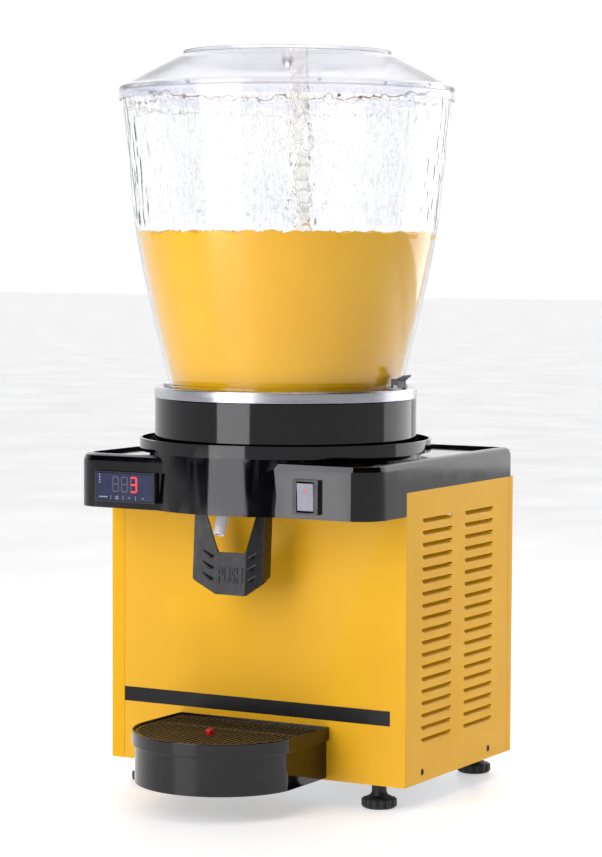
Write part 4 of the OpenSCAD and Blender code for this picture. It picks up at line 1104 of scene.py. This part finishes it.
lid = lathe("lid_piece", filleted([(LID_R, SKIRT_LOW, 0.5), (LID_R, SHOULDER - 1, 1.6),
    (CAP_R + 4, CAP_Z - 1.5, 1.5),
    (CAP_R, CAP_Z, 0.8), (CAP_R + 0.5, LID_TOP, 1.2), (CAP_R - 3, LID_TOP, 1.2), (CAP_R - 4, CAP_Z, 0.8),
    (9, CAP_Z, 3), (0, CAP_Z - 1.2, 0), (0, CAP_Z - 9, 0), (3, CAP_Z - 9, 1), (7, CAP_Z - 2.5, 1),
    (CAP_R - 4, CAP_Z - 2.5, 1), (LID_R - 8, SHOULDER - 0.8, 0.4), (LID_R - 6.5, TANK_TOP + 0.3, 0.4),
    (LID_R - 1.7, TANK_TOP + 0.3, 0.4), (LID_R - 1.7, SKIRT_LOW, 0.5)]), tank_y, 192)
notch = raw_piece("notch_stamp", [(LID_R - 3.4, -2.6, SHOULDER + 0.2), (LID_R - 3.4, 2.6, SHOULDER + 0.2),
    (LID_R - 0.05, 2.0, SHOULDER - 2.6), (LID_R - 0.05, -2.0, SHOULDER - 2.6),
    (LID_R - 0.5, 0, SHOULDER - 4.2),
    (LID_R - 4.2, 0, SHOULDER + 1.5)],
    [(0, 1, 5), (0, 5, 3), (1, 2, 5), (5, 2, 4), (5, 4, 3), (0, 3, 2, 1), (3, 4, 2)], from_front=False)
outward(notch)
lid.data.transform(Matrix.Translation((0, -(front_y + tank_y) * MM, 0)))
grow(lid, RING, {"Stamp": notch, "Count": 8, "First angle": math.radians(-95),
    "Material": FINISH["clear_lid"]})
lid.data.transform(Matrix.Translation((0, (front_y + tank_y) * MM, 0)))
drop(notch)
stand_for(shade(lid, 40), "lid")
print(f"lid: {len(lid.data.polygons)} faces")

# %% [markdown]
# ## Push lever
# A cup pushes this lever back, and the soft tube above opens. It is one folded moulding: a flat middle
# with a raised word, two side facets turned towards the cup with three slanting grip ribs each, and a
# window through which the spout shows. The three facets are drawn flat, thickened and given soft edges.

# %% Lever
PIVOT = Vector((0, -36, 322))
LEAN = 3.5
HALF = 41.0
FOLD_X = 17.5
FACE_Y = -7.0
SWING = 6.0
DEEP_EDGE = 3.0
LEVER_WALL = 3.0


def lever_y(x):
    """How far forward the lever's face stands at a distance from its middle."""
    return FACE_Y - SWING * max(abs(x) - FOLD_X, 0) / (HALF - FOLD_X)


def lever_place(piece):
    """Carries a piece from the lever's own frame, pivot at the origin, to its place on the machine."""
    piece.data.transform(Matrix.Translation((PIVOT + Vector((0, front_y, 0))) * MM)
        @ Matrix.Rotation(math.radians(-LEAN), 4, "X"))
    return piece


def lever_shell():
    """The facets and the two side flanges as faces, before thickening."""
    points, index, faces = [], {}, []

    def number(p):
        key = tuple(round(v, 3) for v in p)
        if key not in index:
            index[key] = len(points)
            points.append(key)
        return index[key]

    side_outline = filleted([(-HALF, 5, 0), (-31, 5, 0), (-31, -22, 5), (-FOLD_X, -61.6, 0),
        (-FOLD_X, -109, 0),
        (-HALF, -94.8, 4)], 4)
    middle = [(-FOLD_X, -61.6), (-16.9, -63.4)] + filleted([(-17.5, -61.6, 0), (-15.8, -66, 1.6),
        (15.8, -66, 1.6),
        (17.5, -61.6, 0)], 4)[1:-1] + [(16.9, -63.4), (FOLD_X, -61.6), (FOLD_X, -109), (-FOLD_X, -109)]
    faces.append([number((x, lever_y(x), z)) for x, z in middle])
    for s in (1, -1):
        faces.append([number((s * x, lever_y(x), z)) for x, z in side_outline][::s])
        edge = [(x, z) for x, z in side_outline if x < -HALF + 0.01]
        low, high = min(z for _, z in edge), max(z for _, z in edge)
        flange = [number(p) for p in ((-s * HALF, lever_y(HALF), low), (-s * HALF, lever_y(HALF), high),
            (-s * HALF, DEEP_EDGE, high), (-s * HALF, DEEP_EDGE, low + 4))]
        faces.append(flange[::s])
    return raw_piece("push_lever_piece", points, faces, from_front=False)


lever = lever_shell()
work = bmesh.new()
work.from_mesh(lever.data)
bmesh.ops.recalc_face_normals(work, faces=work.faces)
if sum(f.normal.y * f.calc_area() for f in work.faces) > 0:
    bmesh.ops.reverse_faces(work, faces=work.faces)
work.to_mesh(lever.data)
work.free()
wall_change = lever.modifiers.new("wall", "SOLIDIFY")
wall_change.thickness = LEVER_WALL * MM
wall_change.offset = -1.0
wall_change.use_even_offset = True
settle(lever)
round_edges(lever, 0.7, 3, 11)

RIB_LONG = 17.5
RIB_SLOPE = 31.0
facet_turn = math.atan2(SWING, HALF - FOLD_X)


def rib_stamp(side):
    """One rounded grip rib with a nub at its end, lying on a side facet and sloping down to the middle."""
    work = bmesh.new()
    bmesh.ops.create_cube(work, size=1.0, matrix=Matrix.Diagonal((RIB_LONG * MM, 2.2 * MM, 2.2 * MM, 1)))
    bmesh.ops.bevel(work, geom=work.edges, offset=0.8 * MM, segments=3, profile=0.5, affect="EDGES")
    bmesh.ops.create_uvsphere(work, u_segments=14, v_segments=8, radius=1.7 * MM,
        matrix=Matrix.Translation((-side * RIB_LONG / 2 * MM, 0, 0)))
    turn = Matrix.Rotation(side * facet_turn, 4, "Y") @ Matrix.Rotation(side * math.radians(RIB_SLOPE),
        4, "Z")
    bmesh.ops.transform(work, matrix=turn, verts=work.verts)
    piece = piece_from(work, "rib_stamp")
    return piece


for side_sign in (-1, 1):
    ribs = raw_piece("ribs", [], [], from_front=False)
    stamp = rib_stamp(side_sign)
    grow(ribs, ROWS, {"Stamp": stamp, "Rows": 3, "Row pitch": 11.4 * MM, "Weld": 0.0,
        "Material": FINISH["lever_black"]})
    drop(stamp)
    upright = Matrix.Rotation(math.radians(90), 4, "X")
    ribs.data.transform(Matrix.Translation(Vector((side_sign * 29, lever_y(29) - 0.1, -89)) * MM) @ upright)
    lever_place(ribs)
    ribs.name = "lever_ribs_left" if side_sign < 0 else "lever_ribs_right"
    join_in(shade(ribs, 50), "lever_black", "lever", "lever_black")

word_curve = bpy.data.curves.new("word", "FONT")
word_curve.body = "PUSH"
word_curve.align_x = "CENTER"
word_curve.size = 20 * MM
word_curve.extrude = 0.55 * MM
word_curve.bevel_depth = 0.12 * MM
word_curve.resolution_u = 6
word = bpy.data.objects.new("raised_word", word_curve)
scene.collection.objects.link(word)
graph = bpy.context.evaluated_depsgraph_get()
word_mesh = bpy.data.meshes.new_from_object(word.evaluated_get(graph), depsgraph=graph)
bpy.data.objects.remove(word)
wide = max(v.co.x for v in word_mesh.vertices) - min(v.co.x for v in word_mesh.vertices)
tall = max(v.co.y for v in word_mesh.vertices) - min(v.co.y for v in word_mesh.vertices)
word_mesh.transform(Matrix.Diagonal((28 * MM / wide, 16.5 * MM / tall, 1, 1)))
word = bpy.data.objects.new("raised_word", word_mesh)
scene.collection.objects.link(word)
word.data.transform(Matrix.Translation(Vector((0, FACE_Y - 0.1,
    -97.0)) * MM) @ Matrix.Rotation(math.radians(90), 4, "X"))
lever_place(word)
join_in(shade(outward(word, 0.002), 40), "lever_black", "lever", "lever_black")


def rod_x(work, x0, x1, y, z, radius, steps=40):
    """A round bar along X, added to a bmesh, in millimetres."""
    turn = Matrix.Translation(Vector(((x0 + x1) / 2, y, z)) * MM) @ Matrix.Rotation(math.radians(90), 4, "Y")
    bmesh.ops.create_cone(work, cap_ends=True, segments=steps, radius1=radius * MM, radius2=radius * MM,
        depth=(x1 - x0) * MM, matrix=turn)


work = bmesh.new()
for x in (-HALF, HALF - 6):
    rod_x(work, x, x + 6, 0, 0, 7)
rod_x(work, -HALF + 1, HALF - 1, -9.5, -13.5, 2.6)
hinge_parts = piece_from(work, "lever_eyes")
lever_place(round_edges(hinge_parts, 0.5, 2, 40))
join_in(hinge_parts, "lever_black", "lever", "lever_black")
stand_for(lever_place(lever), "push_lever")
print(f"lever: {len(lever.data.polygons)} faces, word {wide / MM:.1f} mm wide before fitting")

# %% [markdown]
# The spout is a soft milky tube pushed onto the pan's spigot. It hangs straight behind the lever's bar
# and leans forward at its free end. It is lofted: a ring of points is carried down the outside of the
# path and back up the inside, so the wall is closed at both ends.

# %% Spout
SPOUT_Y = -52.0
BEND_START = 326.0
SPOUT_LEAN = 23.0
SPOUT_END = 277.0


def spout_stations():
    """Centre and direction down the spout: straight, round the bend, straight again."""
    stations = [((SPOUT_Y, z), 0.0) for z in (366.0, 352.0, 337.0, 335.0, BEND_START)]
    bend, lean = 16.0, math.radians(SPOUT_LEAN)
    for k in range(1, 9):
        a = lean * k / 8
        stations.append(((SPOUT_Y - bend * (1 - math.cos(a)), BEND_START - bend * math.sin(a)), a))
    (y, z), a = stations[-1]
    for share in (0.5, 1.0):
        drop_by = (z - SPOUT_END) * share
        stations.append(((y - drop_by * math.tan(lean), z - drop_by), a))
    return stations


def loft_tube(name, stations, outside, inside, steps=32):
    """A tube wall with closed ends; outside and inside give the radius at each station."""
    order = [(s, outside(s)) for s in stations] + [(s, inside(s)) for s in stations[::-1]]
    points, faces = [], []
    for ((y, z), a), radius in order:
        for k in range(steps):
            t = 2 * math.pi * k / steps
            off = radius * math.sin(t)
            points.append((radius * math.cos(t), y + off * math.cos(a), z - off * math.sin(a)))
    count = len(order)
    for i in range(count):
        for k in range(steps):
            n = (k + 1) % steps
            j = (i + 1) % count
            faces.append((i * steps + k, i * steps + n, j * steps + n, j * steps + k))
    return outward(raw_piece(name, points, faces))


spout = loft_tube("outlet_tube_piece", spout_stations(), lambda s: 6.0,
    lambda s: 4.5 if s[0][1] > 336 else 3.8)
stand_for(round_edges(spout, 0.5, 2, 40), "outlet_tube")
print(f"spout: {len(spout.data.polygons)} faces")

# %% [markdown]
# ## Controls
# The controller is a flush bezel with a smoked window. Under it three figures of seven segments each
# wait, and only the last is lit. Small marks and dividers stand over the touch fields. Each figure is
# the same seven bars, some lit and some dim, so one function draws them all.

# %% Controller display
LENS = Vector((-107.8, 0, 320.3))
lens_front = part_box("controller_lens")[0].y / MM - front_y
FIGURE_WIDE = 8.6
FIGURE_TALL = 16.4
STROKE = 1.7
SEGMENTS = {"top": (0, 1, 1, 0), "middle": (0, 0, 1, 0), "bottom": (0, -1, 1, 0),
    "upper_left": (-1, 0.5, 0, 1),
    "upper_right": (1, 0.5, 0, 1), "lower_left": (-1, -0.5, 0, 1), "lower_right": (1, -0.5, 0, 1)}
THREE = {"top", "middle", "bottom", "upper_right", "lower_right"}


def bars(name, boxes, radius, depth=0.3):
    """Thin raised bars on the window: each box is (centre x, centre z, width, height)."""
    work = bmesh.new()
    for x, z, w, h in boxes:
        place = Matrix.Translation(Vector((x, lens_front + front_y, z)) * MM)
        bmesh.ops.create_cube(work, size=1.0,
            matrix=place @ Matrix.Diagonal((w * MM, depth * MM, h * MM, 1)))
    piece = piece_from(work, name)
    return round_edges(piece, radius, 2, 40)


def figure(centre_x, centre_z):
    """The seven bars of one figure, by name."""
    found = {}
    for key, (across, up, flat, _) in SEGMENTS.items():
        x = centre_x + across * (FIGURE_WIDE - STROKE) / 2
        z = centre_z + up * (FIGURE_TALL - STROKE) / 2
        tall = (FIGURE_TALL - STROKE) / 2 - 0.5
        found[key] = (x, z, FIGURE_WIDE - STROKE - 0.5, STROKE) if flat else (x, z, STROKE, tall)
    return found


figure_z = LENS.z + 2.8
lit, dim = [], []
for offset_x in (-10.7, 0.2, 11.1):
    for key, box in figure(LENS.x + offset_x, figure_z).items():
        (lit if offset_x > 5 and key in THREE else dim).append(box)
join_in(bars("lit_figure", lit, 0.12, 0.5), "red_light", "cabinet", "smoked_lens")
join_in(bars("dim_figures", dim, 0.12, 0.32), "dim_segment", "cabinet", "smoked_lens")
marks = [(LENS.x - 30, LENS.z + 4 + 2.6 * k, 1.1, 1.3) for k in range(4)]
marks += [(LENS.x + x, LENS.z - 11, 0.35, 4.6) for x in (-16.5, -1.5, 13.5)]
marks += [(LENS.x - 29.5 + 2.6 * k, LENS.z - 10.6, 1.7, 1.0) for k in range(4)]
marks += [(LENS.x - 9 + dx, LENS.z - 11 + dz, w, h) for dx, dz, w,
    h in ((0, 1.4, 2.6, 0.5), (0, -1.4, 2.6, 0.5),
    (1.4, 0, 0.5, 2.6), (-1.4, 0, 0.5, 2.6))]
marks += [(LENS.x + 6 + 0.8 * k, LENS.z - 10.4 - 0.6 * abs(k), 0.8, 0.6) for k in (-1, 0, 1)]
marks += [(LENS.x + 22 + 0.8 * k, LENS.z - 11 + 0.6 * abs(k), 0.8, 0.6) for k in (-1, 0, 1)]
join_in(bars("window_marks", marks, 0.08, 0.32), "pale_print", "cabinet", "smoked_lens")
softened("controller_case", 0.9, 3)
softened("controller_lens", 0.3, 2)
print(f"display: {len(lit)} lit bars, {len(dim)} dim bars, {len(marks)} marks")

# %% [markdown]
# The rocker switch has a dark frame and a silver key, bent in the middle so that one half is always
# pressed in. Its side outline is drawn once and extruded across, and a red dot marks the lit half.

# %% Rocker key
KEY = Vector((103.1, -73, 320.1))
KEY_WIDE = 18.4
key_profile = [(4, -3), (4, 3), (0, 12)]
key_front = [(-6.9, 13.8), (-6.6, 9.5), (-6.0, 5), (-5.7, 0), (-5.75, -5), (-5.65, -10), (-5.4, -13.8)]


def rocker_key():
    """The key's side outline, extruded across and crowned."""
    outline = key_front + [(0, -12)] + key_profile
    points = [(x, y, z) for x in (-KEY_WIDE / 2, KEY_WIDE / 2) for y, z in outline]
    count = len(outline)
    faces = [list(range(count)), list(range(count, 2 * count))[::-1]]
    for k in range(count):
        n = (k + 1) % count
        faces.append((k, n, n + count, k + count))
    return outward(raw_piece("switch_key_piece",
        [(x + KEY.x, y + KEY.y, z + KEY.z) for x, y, z in points], faces))


stand_for(round_edges(rocker_key(), 0.6, 3, 25), "switch_key")
work = bmesh.new()
bmesh.ops.create_uvsphere(work, u_segments=20, v_segments=10, radius=1.0,
    matrix=Matrix.Translation((KEY + Vector((0, front_y - 6.2, 6.0))) * MM)
    @ Matrix.Diagonal((1.1 * MM, 0.45 * MM, 1.3 * MM, 1)))
dot = piece_from(work, "key_dot")
join_in(shade(dot, 60), "red_light", "switch_key", "key_grey")
softened("switch_body", 0.8, 3)
print("switch ready")

# %% [markdown]
# ## Drip tray and grille
# The grille is a row of bars along the depth in a round-fronted frame. Each bar is as long as the frame
# is deep at its place, which is a rule: the front is an arc, so the depth follows from the distance to
# the middle. The tree works that out for every bar, and a cross bar ties them together.

# %% Grille
tray_low, tray_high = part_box("tray_grille")
GRILLE_TOP = tray_high.z / MM
GRILLE_T = 4.0
ARC_Y = -66.0
GRILLE_R = -(tray_low.y / MM - front_y) + ARC_Y
GRILLE_HALF = tray_high.x / MM
GRILLE_REAR = tray_high.y / MM - front_y
RIM = 4.2
BAR_PITCH = 6.2


def grille_tree():
    tree, given, end = new_tree("grille_bars", [("Bar", "Object", None), ("Count", "Int", 27),
        ("Pitch", "Float", 0.006), ("Front radius", "Float", 0.08), ("Arc Y", "Float", 0.0),
        ("Rear Y", "Float", 0.0), ("Material", "Material", None)])
    spots = put(tree, "GeometryNodeMeshLine",
        {"Count": given["Count"], "Offset": put(tree, "ShaderNodeCombineXYZ",
        {"X": given["Pitch"]})[0]})[0]
    last = calc(tree, "SUBTRACT", given["Count"], 1.0)
    span = calc(tree, "MULTIPLY", last, given["Pitch"])
    half = calc(tree, "MULTIPLY", span, -0.5)
    number = put(tree, "GeometryNodeInputIndex")[0]
    x = calc(tree, "MULTIPLY_ADD", number, given["Pitch"], half)
    square = calc(tree, "MULTIPLY", x, x)
    radius = calc(tree, "MULTIPLY", given["Front radius"], given["Front radius"])
    reach = calc(tree, "SUBTRACT", radius, square)
    reach = calc(tree, "SQRT", reach)
    front = calc(tree, "SUBTRACT", given["Arc Y"], reach)
    length = calc(tree, "SUBTRACT", given["Rear Y"], front)
    place = put(tree, "ShaderNodeCombineXYZ", {"X": x, "Y": front})[0]
    spots = put(tree, "GeometryNodeSetPosition", {"Geometry": spots, "Position": place})[0]
    size = put(tree, "ShaderNodeCombineXYZ", {"X": 1.0, "Y": length, "Z": 1.0})[0]
    bar = put(tree, "GeometryNodeObjectInfo", {"Object": given["Bar"]})["Geometry"]
    copies = put(tree, "GeometryNodeInstanceOnPoints", {"Points": spots, "Instance": bar, "Scale": size})[0]
    copies = put(tree, "GeometryNodeRealizeInstances", {"Geometry": copies})[0]
    both = tree.nodes.new("GeometryNodeJoinGeometry")
    tree.links.new(copies, both.inputs[0])
    tree.links.new(given["Geometry"], both.inputs[0])
    return close_tree(tree, both.outputs[0], given["Material"], end)


def tray_outline(inset, rear, steps=40):
    """Plan of the tray or grille, smaller by inset: round front, straight sides, straight rear."""
    radius, half = GRILLE_R - inset, GRILLE_HALF - inset
    limit = math.asin(min(half / radius, 1.0))
    arc = [(radius * math.sin(a), ARC_Y - radius * math.cos(a))
        for a in (limit * (2 * k / steps - 1) for k in range(steps + 1))]
    return arc + [(half, rear), (-half, rear)]


def plate_ring(name, outer_line, inner_line, low, high):
    """A flat frame between two outlines with the same number of points."""
    count = len(outer_line)
    points = [(x, y, z) for z in (low, high) for line in (outer_line, inner_line) for x, y in line]
    faces = []
    for k in range(count):
        n = (k + 1) % count
        o0, i0, o1, i1 = 0, count, 2 * count, 3 * count
        faces += [(o0 + k, o0 + n, o1 + n, o1 + k), (i0 + n, i0 + k, i1 + k, i1 + n),
            (o1 + k, o1 + n, i1 + n, i1 + k), (o0 + n, o0 + k, i0 + k, i0 + n)]
    return outward(raw_piece(name, points, faces))


grille = plate_ring("tray_grille_piece", tray_outline(0, GRILLE_REAR), tray_outline(RIM, GRILLE_REAR - RIM),
    GRILLE_TOP - GRILLE_T, GRILLE_TOP)
round_edges(grille, 0.5, 2, 35)
bar_work = bmesh.new()
bmesh.ops.create_cube(bar_work, size=1.0, matrix=Matrix.Translation((0, 0.5, 0)) @ Matrix.Diagonal(
    (2.5 * MM, 1.0, 3.4 * MM, 1)))
long_edges = [e for e in bar_work.edges if abs(e.verts[0].co.y - e.verts[1].co.y) > 0.5]
bmesh.ops.bevel(bar_work, geom=long_edges, offset=0.7 * MM, segments=3, profile=0.5, affect="EDGES")
bmesh.ops.transform(bar_work, verts=bar_work.verts,
    matrix=Matrix.Translation((0, 0, (GRILLE_TOP - 2.0) * MM)))
bar_stamp = piece_from(bar_work, "bar_stamp")
grow(grille, grille_tree(), {"Bar": bar_stamp, "Count": 27, "Pitch": BAR_PITCH * MM,
    "Front radius": (GRILLE_R - 2) * MM, "Arc Y": (front_y + ARC_Y) * MM,
    "Rear Y": (front_y + GRILLE_REAR - 2) * MM,
    "Material": FINISH["grille_black"]})
drop(bar_stamp)
stand_for(shade(grille, 50), "tray_grille")

cross = raw_piece("grille_cross_bar", [], [], from_front=False)
work = bmesh.new()
place = Matrix.Translation(Vector((0, front_y - 51, GRILLE_TOP - 2.2)) * MM)
bmesh.ops.create_cube(work, size=1.0, matrix=place @ Matrix.Diagonal(((2 * GRILLE_HALF - 6) * MM, 6 * MM,
    3 * MM, 1)))
work.to_mesh(cross.data)
work.free()
join_in(round_edges(cross, 0.5, 2), "grille_black", "grille", "grille_black")
softened("drip_tray", 1.1, 3)
print(f"grille: 27 bars over {2 * GRILLE_HALF:.0f} mm")

# %% [markdown]
# The float rises through the grille when the tray is full. Its red head is a small dome on a stem, and
# a flat disc floats in the basin.

# %% Float
float_low, float_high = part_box("level_float")
FLOAT_Y = (float_low.y + float_high.y) / 2 / MM - front_y
fl, fh = float_low.z / MM, float_high.z / MM
dome = [(4 * math.cos(a), fh - 4 + 4 * math.sin(a)) for a in (math.radians(90 * k / 10) for k in range(11))]
level_float = lathe("level_float_piece", filleted([(0, fl, 0), (15, fl, 2), (15, fl + 10, 2),
    (2.5, fl + 10, 1),
    (2.5, fh - 8, 0.4), (4, fh - 8, 0.4)], 4) + dome[:-1] + [(0, fh)], FLOAT_Y, 48)
stand_for(shade(level_float), "level_float")
print(f"float top at {fh:.1f} mm")

# %% [markdown]
# ## Levelling feet
# Each foot is turned on the lathe and has grip ribs round its pad. The ring tree sets out the ribs from
# one rounded rib, and the four feet are the same shape on four bodies.

# %% Feet
PAD_R = 18.0
NECK_R = 7.6
RIBS = 14


def foot_piece(node):
    low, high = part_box(node)
    x, y = (low.x + high.x) / 2 / MM, (low.y + high.y) / 2 / MM
    piece = lathe(node + "_piece", filleted([(0, 0, 0), (PAD_R - 3.2, 0, 1), (PAD_R - 1.7, 1.4, 0.8),
        (PAD_R - 1.7, 9.2, 1.2), (PAD_R - 3.6, 10.6, 1), (9.5, 12.8, 2), (NECK_R, 16, 2),
        (NECK_R, panel_low - 0.2, 0.3),
        (4, panel_low - 0.2, 0.2), (4, high.z / MM, 0.8), (0, high.z / MM, 0)], 4), -front_y, 64)
    rib = lathe("rib_stamp", filleted([(0, 1.2, 0), (2.6, 1.2, 1.2), (2.6, 9.4, 1.4), (0, 10.2, 0)], 3),
        -front_y, 14)
    rib.data.transform(Matrix.Translation(((PAD_R - 2.6) * MM, 0, 0)))
    grow(piece, RING, {"Stamp": rib, "Count": RIBS, "Material": FINISH["foot_rubber"]})
    drop(rib)
    piece.data.transform(Matrix.Translation((x * MM, y * MM, 0)))
    return stand_for(shade(piece), node)


for end in ("front_left", "front_right", "rear_left", "rear_right"):
    foot_piece("foot_" + end)
print(f"four feet with {RIBS} ribs each")

# %% [markdown]
# ## Everything else
# The remaining parts have their right shape already. Each gets a radius on its edges that suits how it
# is made: a large one on the moulded cover, small ones on sheet and turned parts.

# %% Softened parts
EDGE_RADIUS = {"top_cover": 1.0, "front_panel": 0.3, "front_stripe": 0.1, "latch_left": 0.5,
    "latch_right": 0.5,
    "latch_hinges": 0.25, "panel_screws": 0.2, "tap_bracket": 0.25, "pivot_pin": 0.3, "pump_housing": 0.4,
    "impeller": 0.3, "cable_gland": 0.6, "tray_bracket": 0.4, "motor_bracket": 0.3, "outlet_spigot": 0.3,
    "terminal_box": 1.5, "fan_shroud": 0.3, "pump_motor": 0.8}
for node, radius in EDGE_RADIUS.items():
    piece = softened(node, radius, 3 if radius > 0.9 else 2)
    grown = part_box(node)[1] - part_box(node)[0]
    size = Vector([max(v.co[k] for v in piece.data.vertices) - min(v.co[k] for v in piece.data.vertices)
        for k in range(3)])
    print(f"{node}: {len(piece.data.polygons)} faces, grew {max(size - grown) / MM:.2f} mm")
